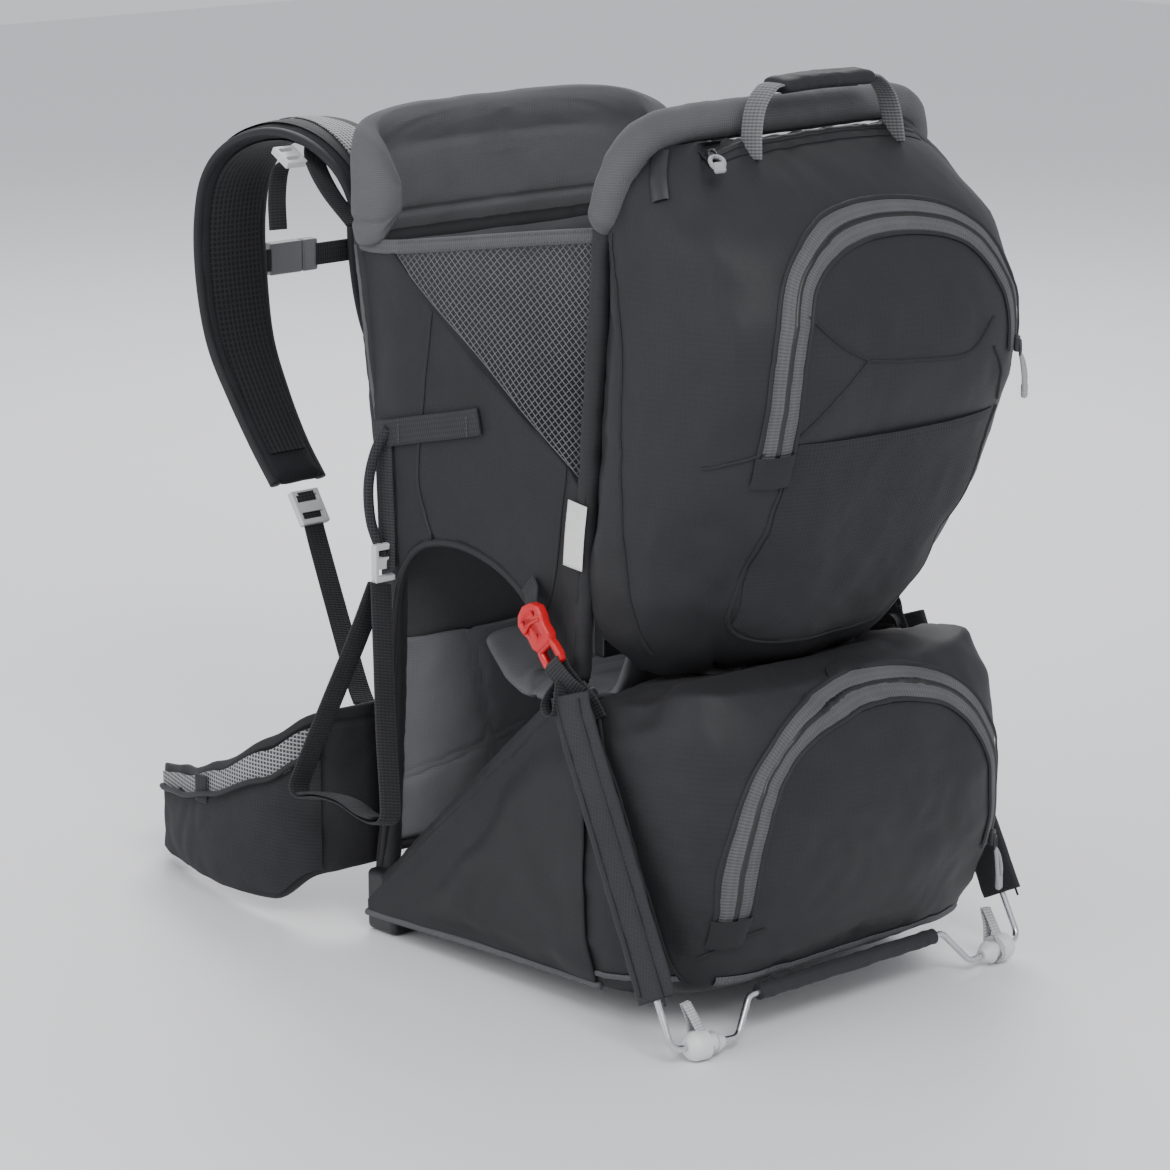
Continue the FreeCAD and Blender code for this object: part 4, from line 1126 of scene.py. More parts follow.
class CARRIER_OT_pads(bpy.types.Operator):
    """Headrest collar and the wearer's back and lumbar pads"""
    bl_idname = "carrier.pads"
    bl_label = "Pads"

    def execute(self, context):
        half = [spot(-x, y, 0) for x, y in COLLAR]
        line = even_line(half + [Vector((-point.x, point.y, point.z)) for point in reversed(half[:-1])], 160)
        pairs = frames_along(line, UP)

        def collar(a, b, c):
            share = (a + 1) / 2 * 160
            index = min(int(share), 159)
            point = line[index].lerp(line[index + 1], share - index)
            out = pairs[index][0]
            thick, tall = rounded(b, c, 3.2)
            end = math.sqrt(max(0.0, 1 - max(0.0, (abs(a) - 0.93) / 0.07) ** 2))
            top = 650 - 34 * abs(a) ** 4
            low = 544 + 12 * abs(a) ** 8
            roll = ease(0.35, 1.0, tall)
            depth = 0.0085 + 0.0052 * roll
            lean = 0.005 * roll
            z = (top + low) / 2 * MM + tall * (top - low) / 2 * MM * (0.35 + 0.65 * end)
            return point + out * (thick * depth * (0.3 + 0.7 * end) + lean) + UP * z

        headrest = soft_block("headrest_collar", 30, collar, LOOKS["pad"])
        subdivide(headrest)
        inflate(headrest, 3.0, 0.004, 12)
        sew(headrest, 0.002, 0.0026, lambda co: abs(co.z - 0.566))
        crease(headrest, 0.0010, 22.0, seed=7.0)
        dress(headrest, "frame", "pad", "headrest_pad")

        back_line = [spot(0, y, z) for y, z in ((389, 66), (381, 170), (375, 270), (382, 340), (394, 420),
                                                (405, 507))]
        back = band("back_mesh_pad", back_line, 0.240, 0.0125, FORWARD, LOOKS["spacer"], 110, 0.0, 16,
                    SIDE_X, 0.03)
        subdivide(back)
        inflate(back, 2.5, 0.003, 8)

        def quilting(co):
            rows = abs((co.z - 0.03) % 0.034 - 0.017) + 0.001 + 4 * max(0, abs(co.x) - 0.092)
            return min(rows, abs(abs(co.x) - 0.094))

        sew(back, 0.0042, 0.0046, quilting)
        dress(back, "frame", "mesh", "back_panel")
        low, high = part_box("lumbar_pad")
        centre = (Vector(low) + Vector(high)) / 2
        lumbar_line = [Vector((0, centre.y, low[2])), Vector((0, centre.y + 0.001, centre.z)),
                       Vector((0, centre.y, high[2]))]
        wide = high[0] - low[0]
        lumbar = band("lumbar_cushion", lumbar_line, lambda t: wide * (0.93 + 0.05 * math.sin(math.pi * t)), 0.019,
                      FORWARD, LOOKS["spacer"], 50, 0.0, 14, SIDE_X, 0.12)
        subdivide(lumbar)
        inflate(lumbar, 3.0, 0.003, 10)
        sew(lumbar, 0.004, 0.004, lambda co: min(abs(abs(co.x) - 0.045), abs(co.x), abs(abs(co.x) - 0.088)))
        dress(lumbar, "frame", "pad", "lumbar_pad")
        return {"FINISHED"}


# ------------------------------------------------------------------ shoulder harness

STRAP = [(420, 440), (424, 480), (431, 520), (443, 560), (462, 590), (500, 610), (548, 614), (598, 600),
         (632, 572),
         (645, 530), (644, 480), (634, 430), (612, 390), (585, 352), (560, 324)]


def strap_width(t):
    """A shoulder strap's width at a share of its length: full over the shoulder, narrow at the ends."""
    return 0.050 + 0.014 * ease(0.05, 0.35, t) - 0.016 * ease(0.68, 0.98, t)


class CARRIER_OT_harness(bpy.types.Operator):
    """Shoulder straps with bound edges, their yoke, lifters, lower webbing and chest strap"""
    bl_idname = "carrier.harness"
    bl_label = "Shoulder harness"

    def execute(self, context):
        low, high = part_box("torso_yoke")
        y = (low[1] + high[1]) / 2
        yoke_line = [Vector((0, y, low[2])), Vector((0, y + 0.0005, (low[2] + high[2]) / 2)),
                     Vector((0, y, high[2]))]
        wide = high[0] - low[0]
        yoke = band("torso_yoke_pad", yoke_line, lambda t: wide * (0.80 + 0.2 * math.sin(math.pi * t)), 0.0075,
                    FORWARD, LOOKS["strap"], 40, 0.0, 10, SIDE_X, 0.1)
        dress(yoke, "harness", "pad", "torso_yoke")
        for label, sign in SIDES.items():
            self.strap(label, sign)
            lifter_rows = [(123, 426, 554), (119, 462, 575), (106, 497, 594), (92, 515, 608)]
            webbing("load_lifter_web_" + label, both_ways(lifter_rows, sign), 0.018, 0.0018,
                                   FORWARD,
                                   40, SIDE_X, "harness")
            tail_rows = [(121, 509, 597), (123, 520, 588), (124, 524, 566), (125, 522, 540)]
            webbing("load_lifter_tail_" + label, both_ways(tail_rows, sign), 0.018, 0.0016, FORWARD, 30,
                    SIDE_X,
                    "harness")
            lower_rows = [(80, 543, 297), (84, 528, 274), (100, 484, 226), (118, 440, 186), (126, 420, 172)]
            web = band("lower_web_" + label, both_ways(lower_rows, sign), 0.020, 0.0018, FORWARD,
                       LOOKS["webbing"], 80,
                       sideways=SIDE_X)
            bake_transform(web)
            if sign < 0:
                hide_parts("lower_webbing")
            webbing("lower_web_keeper_" + label, both_ways([(80, 552, 316), (80, 546, 304), (80, 540, 293)],
                                                           sign),
                    0.0185, 0.0034, FORWARD, 16, SIDE_X, "harness")
        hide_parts("load_lifters")
        for node, body, points in (
            ("sternum_web_left", "sternum", [(-34, 651, 490), (-70, 652, 490), (-100, 651, 490),
                                             (-112, 646, 490)]),
            ("sternum_web_right", "sternum_release", [(14, 651, 490), (60, 652, 490), (100, 651, 490),
                                                      (112, 646, 490)]),
        ):
            webbing(node + "_band", [spot(*point) for point in points], 0.019, 0.0018, FORWARD, 40, UP, body,
                    node)
        return {"FINISHED"}

    def strap(self, label, sign):
        """One shoulder strap: its pad, bindings, face cloths, net patch, grip dots and webbing tabs."""
        line = [spot(sign * 80, y, z) for y, z in STRAP]
        count = 150
        strap = band("shoulder_pad_" + label, line, strap_width, 0.0135, UP, LOOKS["strap"], count, 0.0, 12,
                     SIDE_X, 0.012)
        crease(strap, 0.0010, 30.0, seed=11.0 + sign)
        dress(strap, "harness", "pad", "shoulder_strap_" + label)
        even = even_line(line, count)
        pairs = frames_along(even, UP, SIDE_X)

        def on_strap(share, across, lift):
            index = min(int(share * count), count - 1)
            side, rise = pairs[index]
            point = even[index].lerp(even[index + 1], share * count - index)
            return point + side * across * strap_width(share) / 2 + rise * lift

        out = 1 if pairs[40][1].z > 0 else -1
        for edge in (-1, 1):
            edge_line = [on_strap(step / 60, edge * 0.97, 0) for step in range(61)]
            binding = tube("strap_binding_%s_%d" % (label, edge > 0), edge_line, 0.0036, LOOKS["shell"], 180,
                           10, 1.5,
                           SIDE_X)
            dress(binding, "harness", "pad")
        for face, lift in (("outer", 0.0072), ("inner", -0.0072)):
            def on_face(along, across):
                share = 0.04 + 0.92 * along
                swell = 0.0012 * (1 - abs(2 * across - 1) ** 6) * math.copysign(1, lift)
                return on_strap(share, (2 * across - 1) * 0.80, lift + swell)

            look = "spacer_dark" if (face == "inner") == (out > 0) else "panel"
            cloth = grid_piece("strap_%s_cloth_%s" % (face, label), 12, 140, on_face, LOOKS[look],
                               size=(0.6, 0.05))
            dress(cloth, "harness", "pad")

        def patch(along, across):
            share = 0.14 + 0.30 * along
            return on_strap(share, (2 * across - 1) * 0.80 * (1 - 0.92 * along ** 1.4), out * 0.0092)

        mesh = grid_piece("strap_net_patch_" + label, 16, 40, patch, LOOKS["silver_net"], 0.0008,
                          (0.16, 0.05))
        dress(mesh, "harness", "mesh")
        bm = bmesh.new()
        for row, share in enumerate((0.17, 0.205, 0.24, 0.275)):
            for across in ((-0.5, 0.0, 0.5) if row % 2 else (-0.28, 0.28)):
                reach = across * (1 - 0.9 * ((share - 0.14) / 0.30) ** 1.4)
                made = bmesh.ops.create_icosphere(bm, subdivisions=2, radius=0.0042)
                index = int(share * count)
                side, rise = pairs[index]
                flat = Matrix((side, side.cross(rise), rise * 0.32)).transposed()
                bmesh.ops.transform(bm, matrix=flat.to_4x4(), verts=made["verts"])
                bmesh.ops.translate(bm, vec=on_strap(share, reach, out * 0.0096), verts=made["verts"])
        dots = finish_mesh("strap_dots_" + label, bm, LOOKS["dark"])
        dress(dots, "harness", "pad")
        for index, share in enumerate((0.905, 0.955)):
            tab_line = [on_strap(share, across, out * 0.0082) for across in (-0.84, -0.4, 0, 0.4, 0.84)]
            webbing("strap_tab_%d_%s" % (index, label), tab_line, 0.013, 0.0014,
                    pairs[int(share * count)][1], 20, None,
                    "harness")


# ------------------------------------------------------------------ hip belt

WING = [(104, 404), (132, 404), (158, 406), (176, 418), (186, 446), (191, 484), (188, 530), (180, 572),
        (170, 608), (162, 640)]
WING_TOP = [(404, 180), (418, 176), (460, 150), (520, 118), (575, 98), (640, 84)]
WING_LOW = [(404, 46), (420, 40), (452, 14), (530, 8), (612, 8), (640, 14)]


class CARRIER_OT_belt(bpy.types.Operator):
    """Padded hip wings with their pockets, and the belt's webbing"""
    bl_idname = "carrier.belt"
    bl_label = "Hip belt"

    def execute(self, context):
        for label, sign in SIDES.items():
            self.wing(label, sign)
            rows = [(164, 622, 32), (157, 640, 32), (148, 655, 32), (132, 664, 32), (100, 665, 32),
                    (66, 664, 32)]
            webbing("belt_web_" + label, both_ways(rows, sign), 0.024, 0.0020, FORWARD, 60, UP,
                    "belt_" + label,
                    "belt_webbing_" + label)
        return {"FINISHED"}

    def wing(self, label, sign):
        """One hip wing: its pad, stretch pocket, net strip, hem and tab."""
        count = 90
        even = even_line([spot(sign * x, y, 0) for x, y in WING], count)
        pairs = frames_along(even, UP)

        def edge(share, up):
            index = min(int(share * count), count - 1)
            point = even[index].lerp(even[index + 1], share * count - index)
            y = point.y / MM + FOOT_LINE
            top = table(y, WING_TOP) * MM
            low = table(y, WING_LOW) * MM
            return point, pairs[index][0] * sign, (top + low) / 2 + up * (top - low) / 2

        def block(a, b, c):
            share = (a + 1) / 2
            thick, tall = rounded(b, c, 3.4)
            close = math.sqrt(max(0.04, 1 - max(0.0, (abs(a) - 0.95) / 0.05) ** 2))
            point, out, z = edge(share, tall * 0.985)
            return point + out * thick * 0.0068 * close + UP * z

        pad = soft_block("hip_pad_" + label, 26, block, LOOKS["panel"])
        subdivide(pad)
        inflate(pad, 3.0, 0.003, 10)
        sew(pad, 0.002, 0.0024, lambda co: abs(co.z - table(co.y / MM + FOOT_LINE, WING_TOP) * MM + 0.012))
        crease(pad, 0.0015, 22.0, seed=12.0 + sign)
        dress(pad, "belt_" + label, "pad", "hip_wing_" + label)

        def patch(name, start, stop, low, high, lift, swell, look, columns=50, rows=24, thickness=0.0):
            def place(along, across):
                share = start + (stop - start) * along
                up = low + (high - low) * across
                point, out, z = edge(share, up)
                dome = swell * math.sin(math.pi * min(max(along, 0),
                                                      1)) ** 0.5 * (1 - abs(2 * across - 1) ** 3)
                return point + out * (0.0072 + lift + dome) + UP * z

            return grid_piece(name, rows, columns, place, look, thickness, (0.25, 0.1))

        pocket = patch("hip_pocket_" + label, 0.24, 0.96, -0.90, 0.50, 0.0006, 0.0060, LOOKS["stretch"], 60,
                       30)
        crease(pocket, 0.0020, 26.0, (1, 1, 1), 20.0 + sign)
        dress(pocket, "belt_" + label, "pad")
        strip = patch("hip_net_strip_" + label, 0.24, 0.96, 0.46, 0.84, 0.0008, 0.0008, LOOKS["silver_net"],
                      60, 8)
        dress(strip, "belt_" + label, "mesh")

        def on_wing(share, up, lift):
            point, out, z = edge(share, up)
            return point + out * lift + UP * z

        hem_line = [on_wing(0.24 + 0.72 * step / 30, 0.50,
                            0.0092 + 0.0052 * math.sin(math.pi * step / 30) ** 0.5)
                    for step in range(31)]
        hem = tube("hip_pocket_hem_" + label, hem_line, 0.0024, LOOKS["shell"], 90, 8)
        dress(hem, "belt_" + label, "pad")
        tab = band("hip_tab_" + label, [on_wing(0.66, up, 0.0125) for up in (0.36, 0.56, 0.80)],
                   0.016, 0.0018, Vector((sign, 0, 0)), LOOKS["webbing"], 16)
        dress(tab, "belt_" + label, "webbing_dark")


# ------------------------------------------------------------------ buckles, loops and handle

BUCKLE_TILT = math.radians(42)
BUCKLE_UP = Vector((0, math.sin(BUCKLE_TILT), math.cos(BUCKLE_TILT)))
BUCKLE_SIDE = Vector((0, math.cos(BUCKLE_TILT), -math.sin(BUCKLE_TILT)))


class CARRIER_OT_releases(bpy.types.Operator):
    """Bright side release buckles with their forked tongues, webbing and pull loops"""
    bl_idname = "carrier.releases"
    bl_label = "Release buckles"

    def execute(self, context):
        for label, sign in SIDES.items():
            mouth = spot(sign * 171, 150, 281)

            def at(across, up, out=0.0):
                return mouth + BUCKLE_SIDE * across * MM + BUCKLE_UP * up * MM + SIDE_X * sign * out * MM

            outline = [(-9, 0), (-12, 5), (-11.5, 14), (-14, 20), (-14.5, 27), (-9, 33), (0, 35.5), (9, 33),
                       (14.5, 27),
                       (14, 20), (11.5, 14), (12, 5), (9, 0)]
            socket = plate("side_socket_" + label, outline, 8.5, at, LOOKS["red"], 1.6)
            drill(socket, [(at(-7, 25), 2.1), (at(7, 25), 2.1), (at(0, 10), 1.7)], SIDE_X)
            dress(socket, "frame", "buckle_red")
            ridge = tube("side_socket_ridge_" + label, [at(-10, 18, 4.6), at(0, 20, 5.2), at(10, 18, 4.6)],
                         0.0012, LOOKS["red"], 20, 8)
            dress(ridge, "frame", "buckle_red")
            webbing("side_socket_web_" + label, [at(0, 31, -2), at(0, 38, -7), at(2, 46, -13),
                                                 at(3, 54, -15)], 0.019,
                    0.0016, SIDE_X, 30, BUCKLE_SIDE, "frame")
            body = "side_tongue_" + label
            fork = plate("side_fork_" + label, [(-9.5, 3), (-11, -3), (-11.5, -12), (-9, -17), (9, -17),
                                                (11.5, -12), (11, -3), (9.5, 3)],
                         6.5, at, LOOKS["red"], 1.3)
            window = plate("window", [(-6.6, -2), (-7, -12.5), (7, -12.5), (6.6, -2)], 20, at, LOOKS["red"],
                           0.5)
            cut_with(fork, window)
            dress(fork, body, "buckle_red", "side_buckle_tongue_" + label)
            wrap = [(0, -12, 2.2), (0, -15, 4.4), (0, -21, 3.4), (-1, -34, 0.5), (-2, -44, -5)]
            web = band("side_tongue_web_" + label, [at(*row) for row in wrap], 0.019, 0.0018, SIDE_X,
                       LOOKS["webbing"], 40,
                       sideways=BUCKLE_SIDE)
            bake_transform(web)
            back_rows = [(0, -12, -1.6), (0, -16, -3.4), (0, -24, -3), (-1, -40, -6)]
            back = band("side_tongue_back_" + label, [at(*row) for row in back_rows], 0.019, 0.0016, SIDE_X,
                        LOOKS["webbing"], 30, sideways=BUCKLE_SIDE)
            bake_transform(back)
            pull_loop = [(2, -30, 2.4), (8, -40, 6), (15, -47, 8), (22, -44, 8), (22, -36, 7), (14, -31, 5),
                         (4, -28, 2.4)]
            pull = band("side_pull_loop_" + label, [at(*row) for row in pull_loop], 0.013, 0.0015, BUCKLE_UP,
                        LOOKS["webbing"], 60, sideways=SIDE_X)
            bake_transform(pull)
            webbing("side_anchor_web_" + label, [at(-2, -38, -5), at(-2, -52, -8), at(0, -66, -10)], 0.022,
                    0.002,
                    SIDE_X, 30, BUCKLE_SIDE, "frame")
        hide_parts("side_buckle_sockets")
        return {"FINISHED"}


def plate(name, outline, thickness, at, material, bevel):
    """A moulded plate from an outline of (across, up) points, with rounded edges."""
    bm = bmesh.new()
    verts = [bm.verts.new(at(across, up, -thickness / 2)) for across, up in outline]
    face = bm.faces.new(verts)
    grown = bmesh.ops.extrude_face_region(bm, geom=[face])
    moved = [item for item in grown["geom"] if isinstance(item, bmesh.types.BMVert)]
    bmesh.ops.translate(bm, vec=at(0, 0, thickness / 2) - at(0, 0, -thickness / 2), verts=moved)
    bmesh.ops.recalc_face_normals(bm, faces=bm.faces)
    bmesh.ops.bevel(bm, geom=list(bm.edges), offset=bevel * MM, segments=3, profile=0.5, affect="EDGES",
                    clamp_overlap=True, material=-1)
    return finish_mesh(name, bm, material)


def cut_with(piece, cutter):
    """Cut one solid from another and remove the cutter."""
    change = piece.modifiers.new("cut", "BOOLEAN")
    change.operation = "DIFFERENCE"
    change.solver = "EXACT"
    change.object = cutter
    bpy.context.view_layer.update()
    apply_all(piece)
    bpy.data.objects.remove(cutter)


def drill(piece, holes, axis):
    """Round holes through a plate, each a centre and a radius in millimetres."""
    for centre, radius in holes:
        bm = bmesh.new()
        bmesh.ops.create_cone(bm, cap_ends=True, segments=20, radius1=radius * MM, radius2=radius * MM,
                              depth=0.03)
        bmesh.ops.transform(bm, matrix=axis.to_track_quat("Z", "Y").to_matrix().to_4x4(), verts=bm.verts)
        bmesh.ops.translate(bm, vec=centre, verts=bm.verts)
        cut_with(piece, finish_mesh("drill", bm, LOOKS["dark"]))


STIRRUP_LEAN = math.radians(13.9)


def stirrup_spot(sign, y, z, out=0.0):
    """A place on the leaning stirrup, from its height when it hangs straight."""
    drop = 290 - z
    x = 164 + drop * math.sin(STIRRUP_LEAN) + out * math.cos(STIRRUP_LEAN)
    return spot(sign * x, y, 290 - drop * math.cos(STIRRUP_LEAN) + out * math.sin(STIRRUP_LEAN))


class CARRIER_OT_loops(bpy.types.Operator):
    """Webbing stirrups, grab loops and the padded top handle"""
    bl_idname = "carrier.loops"
    bl_label = "Stirrups, loops and handle"

    def execute(self, context):
        for label, sign in SIDES.items():
            across = Vector((math.cos(STIRRUP_LEAN), 0, sign * math.sin(STIRRUP_LEAN)))
            shape = [(351, 290), (334, 240), (314, 180), (296, 132), (293, 118), (302, 112), (320, 113),
                     (345, 118), (372, 117),
                     (394, 112), (404, 117), (402, 132), (384, 190), (366, 246), (354, 290)]
            webbing("stirrup_web_" + label, [stirrup_spot(sign, y, z) for y, z in shape], 0.021, 0.0022, UP,
                    150,
                    across, "foot_loop_" + label, "stirrup_" + label)
            sole = [(304, 115.5), (320, 116), (345, 121), (372, 120), (392, 115.5)]
            webbing("stirrup_tread_" + label, [stirrup_spot(sign, y, z) for y, z in sole], 0.024, 0.003, UP,
                    50,
                    across, "foot_loop_" + label)
            hanger_rows = [(157, 352, 300), (155, 354, 330), (154, 357, 372), (153, 359, 402)]
            webbing("stirrup_hanger_" + label, both_ways(hanger_rows, sign), 0.020, 0.0018, FORWARD, 40,
                    FORWARD,
                    "frame")
            grab_rows = [(154, 352, 410), (160, 360, 392), (164, 364, 366), (164, 362, 338), (160, 356, 316),
                         (156, 351, 300)]
            grab = tube("grab_loop_" + label, both_ways(grab_rows, sign), 0.0046, LOOKS["webbing_tube"], 100,
                        14, 0.8,
                        SIDE_X)
            dress(grab, "frame", "webbing_dark")
            anchor_rows = [(150, 374, 402), (154.5, 350, 407), (155.5, 312, 416), (155, 268, 426),
                           (155, 244, 432)]
            webbing("grab_anchor_" + label, both_ways(anchor_rows, sign), 0.021, 0.002, SIDE_X, 60, UP,
                    "frame")
            for index, y in enumerate((336, 256)):
                middle = 419 - (y - 290) * 0.22
                seam = stitches("grab_anchor_thread_%d_%s" % (index, label),
                                both_ways([(157.0, y, middle - 8), (157.2, y, middle + 8)], sign), 0.0026,
                                SIDE_X,
                                LOOKS["tape"])
                dress(seam, "frame", "webbing_dark")
        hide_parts("grab_loops")
        self.handle()
        return {"FINISHED"}

    def handle(self):
        """The top handle: a webbing bow with a padded grip."""
        bow = [(-73, 640), (-71, 660), (-66, 676), (-56, 687), (-44, 691), (0, 692), (44, 691), (56, 687),
               (66, 676),
               (71, 660), (73, 640)]
        web = band("handle_web", [spot(x, 47 - 5 * (692 - z) / 50, z) for x, z in bow], 0.021, 0.0026, UP,
                   LOOKS["handle_web"], 140, sideways=FORWARD)
        dress(web, "carry_handle", "webbing_light", "top_handle")
        grip_line = [spot(x, 47, z - 0.5) for x, z in ((-46, 689.5), (-38, 690.8), (0, 691.6), (38, 690.8),
                                                       (46, 689.5))]
        grip = band("handle_cushion", grip_line, 0.026, 0.0115, UP, LOOKS["panel"], 60, 0.0, 12, FORWARD,
                    0.06)
        subdivide(grip)
        crease(grip, 0.0009, 60.0, seed=1.0)
        dress(grip, "carry_handle", "shell", "handle_grip")
        hem = tube("handle_hem", [point + DOWN * 0.0056 for point in grip_line[1:-1]], 0.0016,
                   LOOKS["shell"], 40, 8, 1.0, FORWARD)
        dress(hem, "carry_handle", "shell")


# ------------------------------------------------------------------ stand

LEG_SEAM = 0.013  # a seam's distance from the middle of its sleeve


class CARRIER_OT_stand(bpy.types.Operator):
    """Cloth sleeves and webbing of the fold-out stand"""
    bl_idname = "carrier.stand"
    bl_label = "Stand"

    def execute(self, context):
        for label, sign in SIDES.items():
            leg = both_ways([(176.6, 119, 252), (177.6, 112, 234), (179.6, 80.6, 172), (182.3, 40, 92),
                             (183.9, 17, 46)], sign)
            sleeve = band("leg_sleeve_" + label, leg, 0.041, 0.0072, SIDE_X, LOOKS["sleeve"], 90, 0.0, 10,
                          FORWARD)
            crease(sleeve, 0.0010, 34.0, seed=14.0 + sign)
            dress(sleeve, "kickstand", "shell")
            for row in (-LEG_SEAM, LEG_SEAM):
                line = [point + Vector((sign * 0.0038, row, 0)) for point in leg]
                seam = tube("leg_seam_%s_%d" % (label, row > 0), line, 0.0009, LOOKS["shell"], 90, 6, 1.0,
                            SIDE_X)
                dress(seam, "kickstand", "shell")
            loop = both_ways([(160, 12, 40), (159, 4, 30), (158, -5, 18), (157.5, -12, 9), (157, -6, 2.2),
                              (157, 2, 3.6), (157.5, 7, 14), (158.5, 9, 28), (160, 14, 40)], sign)
            web = band("foot_web_" + label, loop, 0.009, 0.0014, UP, LOOKS["webbing_light"], 80,
                       sideways=SIDE_X)
            dress(web, "kickstand", "webbing_light")
        cross = tube("cross_sleeve", [spot(x, 5, 34) for x in (-93, -60, 0, 60, 93)], 0.0062,
                     LOOKS["sleeve"], 90, 18)
        crease(cross, 0.0008, 60.0, seed=15.0)
        dress(cross, "kickstand", "shell")
        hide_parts("leg_sleeves")
        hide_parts("foot_loops")
        return {"FINISHED"}


# ------------------------------------------------------------------ pulls, patches and bare parts

class CARRIER_OT_pulls(bpy.types.Operator):
    """Zip sliders with cord pulls, bag trims and the blank label"""
    bl_idname = "carrier.pulls"
    bl_label = "Pulls and trims"

    def execute(self, context):
        for label, which, x, z in (("upper_slider", "upper", 124, 495), ("lower_slider", "lower", 133, 110)):
            hit, normal = lay_on(BAG[which], spot(x, -190, z), FORWARD, 0.004)
            self.pull(label, hit, normal, DOWN, label.replace("_slider", "_zip_slider"), 3.0)
        top, normal = lay_on(BAG["upper"], spot(-100, 54, 720), DOWN, 0.0035)
        self.pull("lid_slider", top, normal, Vector((-0.5, -0.75, -0.35)).normalized(), "lid_zip_slider",
                  6.0)
        lid = [spot(x, 50 + 6 * (abs(x) / 110) ** 3, 720) for x in (-106, -90, -60, 0, 60, 90, 106)]
        for name, width, lift, rise, look, count, ridge in (
            ("lid_zip_tape", 0.017, 0.0006, 0.0008, "shell", 110, 0.0), ("lid_zip_coil", 0.005, 0.0018,
                                                                         0.001, "coil", 420, 0.0003),
        ):
            piece = laid_band(name, lid, width, lift, rise, BAG["upper"], DOWN, LOOKS[look], count, 5, ridge)
            dress(piece, "frame", "zip" if look == "coil" else "shell")
        tag = laid_band("lid_tag", [spot(-133, 74, 652), spot(-141, 66, 634), spot(-145, 58, 616)], 0.012,
                        0.002, 0.0012, BAG["upper"],
                        Vector((0.7, 0.5, -0.5)).normalized(), LOOKS["dark"], 16, 5)
        dress(tag, "frame", "trim")
        label = band("blank_label", both_ways([(159.8, 129, 390), (160.2, 132, 366), (160.4, 134, 341)], -1),
                     0.021, 0.0008,
                     SIDE_X, LOOKS["label"], 20, sideways=FORWARD)
        dress(label, "frame", "trim")
        for side, sign in SIDES.items():
            inwards = Vector((-sign, 0, 0.22)).normalized()
            trim_line = [spot(sign * 220, y, z) for y, z in ((110, 23), (80, 26), (30, 36))]
            trim = laid_band("floor_trim_" + side, trim_line,
                             0.005, 0.0008, 0.0014, BAG["lower"], inwards, LOOKS["tape"], 60, 6)
            dress(trim, "frame", "trim")
            for which, rows, count in (
                ("lower", [(108, 240), (82, 200), (56, 140), (38, 84), (28, 44)], 80),
                ("upper", [(96, 590), (84, 520), (82, 440), (84, 340), (86, 280)], 110),
            ):
                seam = laid_band("%s_side_seam_%s" % (which, side), [spot(sign * 220, y, z) for y,
                                                                     z in rows], 0.003,
                                 0.0004, 0.0012, BAG[which], Vector((-sign, 0, 0)), LOOKS["panel"], count, 3)
                dress(seam, "frame", "shell")
        hem_line = [spot(x, -120, 44 + 3 * (x / 120) ** 2) for x in (-128, -90, -40, 0, 40, 90, 128)]
        hem = laid_band("rear_floor_trim", hem_line, 0.008, 0.0008, 0.0016, BAG["lower"], FORWARD,
                        LOOKS["tape"], 110, 5)
        dress(hem, "frame", "trim")
        return {"FINISHED"}

    def pull(self, body, place, normal, hang, node, rise):
        """A slider with its bail and looped cord, whose end stands off the cloth by rise millimetres."""
        side = normal.cross(hang).normalized()
        bail_loop = [(-3, 0), (1, 2.2), (6, 2.6), (9, 0), (6, -2.6), (1, -2.2), (-3, 0)]
        cord_loop = [(8, 0, 3), (14, 3.2, 4.2), (24, 4.6, 4.6), (33, 3.2, 3.6), (37, 0, 3.2),
                     (33, -3.2, 3.6), (24, -4.6, 4.6), (14, -3.2, 4.2), (8, 0, 3)]
        turn = Matrix((side, hang, normal)).transposed().to_4x4()
        slider = solid_block(body + "_block", place, (0.0075, 0.012, 0.0045), LOOKS["dark"], 0.0014, turn)
        dress(slider, body, "zip", node)
        bail = tube(body + "_bail", [place + hang * a * MM + side * b * MM + normal * 2.6 * MM for a,
                                     b in bail_loop],
                    0.0009, LOOKS["dark"], 60, 8, 1.0, normal)
        dress(bail, body, "zip")
        cord_line = [place + hang * a * MM + side * b * MM + normal * (c + rise * (a - 8) / 29) * MM
                     for a, b, c in cord_loop]
        cord = tube(body + "_cord", cord_line, 0.0016, LOOKS["cord"], 110, 10, 1.0, normal)
        dress(cord, body, "zip")
        grip_place = place + hang * 0.034 + normal * (3.6 + rise * 0.9) * MM
        end = solid_block(body + "_grip", grip_place, (0.0085, 0.011, 0.0046), LOOKS["cord"], 0.0018, turn)
        dress(end, body, "zip")


BARE = {
    "tube": ["back_frame", "cockpit_hoop"],
    "wire": ["kickstand_wire"],
    "foot": ["kickstand_feet"],
    "dark": ["corner_fittings", "bottom_crossbar", "kickstand_brackets", "child_buckle_socket",
             "child_buckle_tongue",
             "belt_buckle_socket", "belt_buckle_tongue"],
    "grey_lock": ["sternum_socket", "sternum_tongue"],
    "lock": ["strap_locks", "load_lifter_locks", "stirrup_locks", "belt_ring_left", "belt_ring_right"],
}


class CARRIER_OT_finishes(bpy.types.Operator):
    """Finishes of the tubes, wire, feet, locks and buckles"""
    bl_idname = "carrier.finishes"
    bl_label = "Bare parts"

    def execute(self, context):
        for look, nodes in BARE.items():
            for node in nodes:
                for place in NODES[node].material_slots:
                    place.material = LOOKS[look]
        return {"FINISHED"}


# ------------------------------------------------------------------ stage

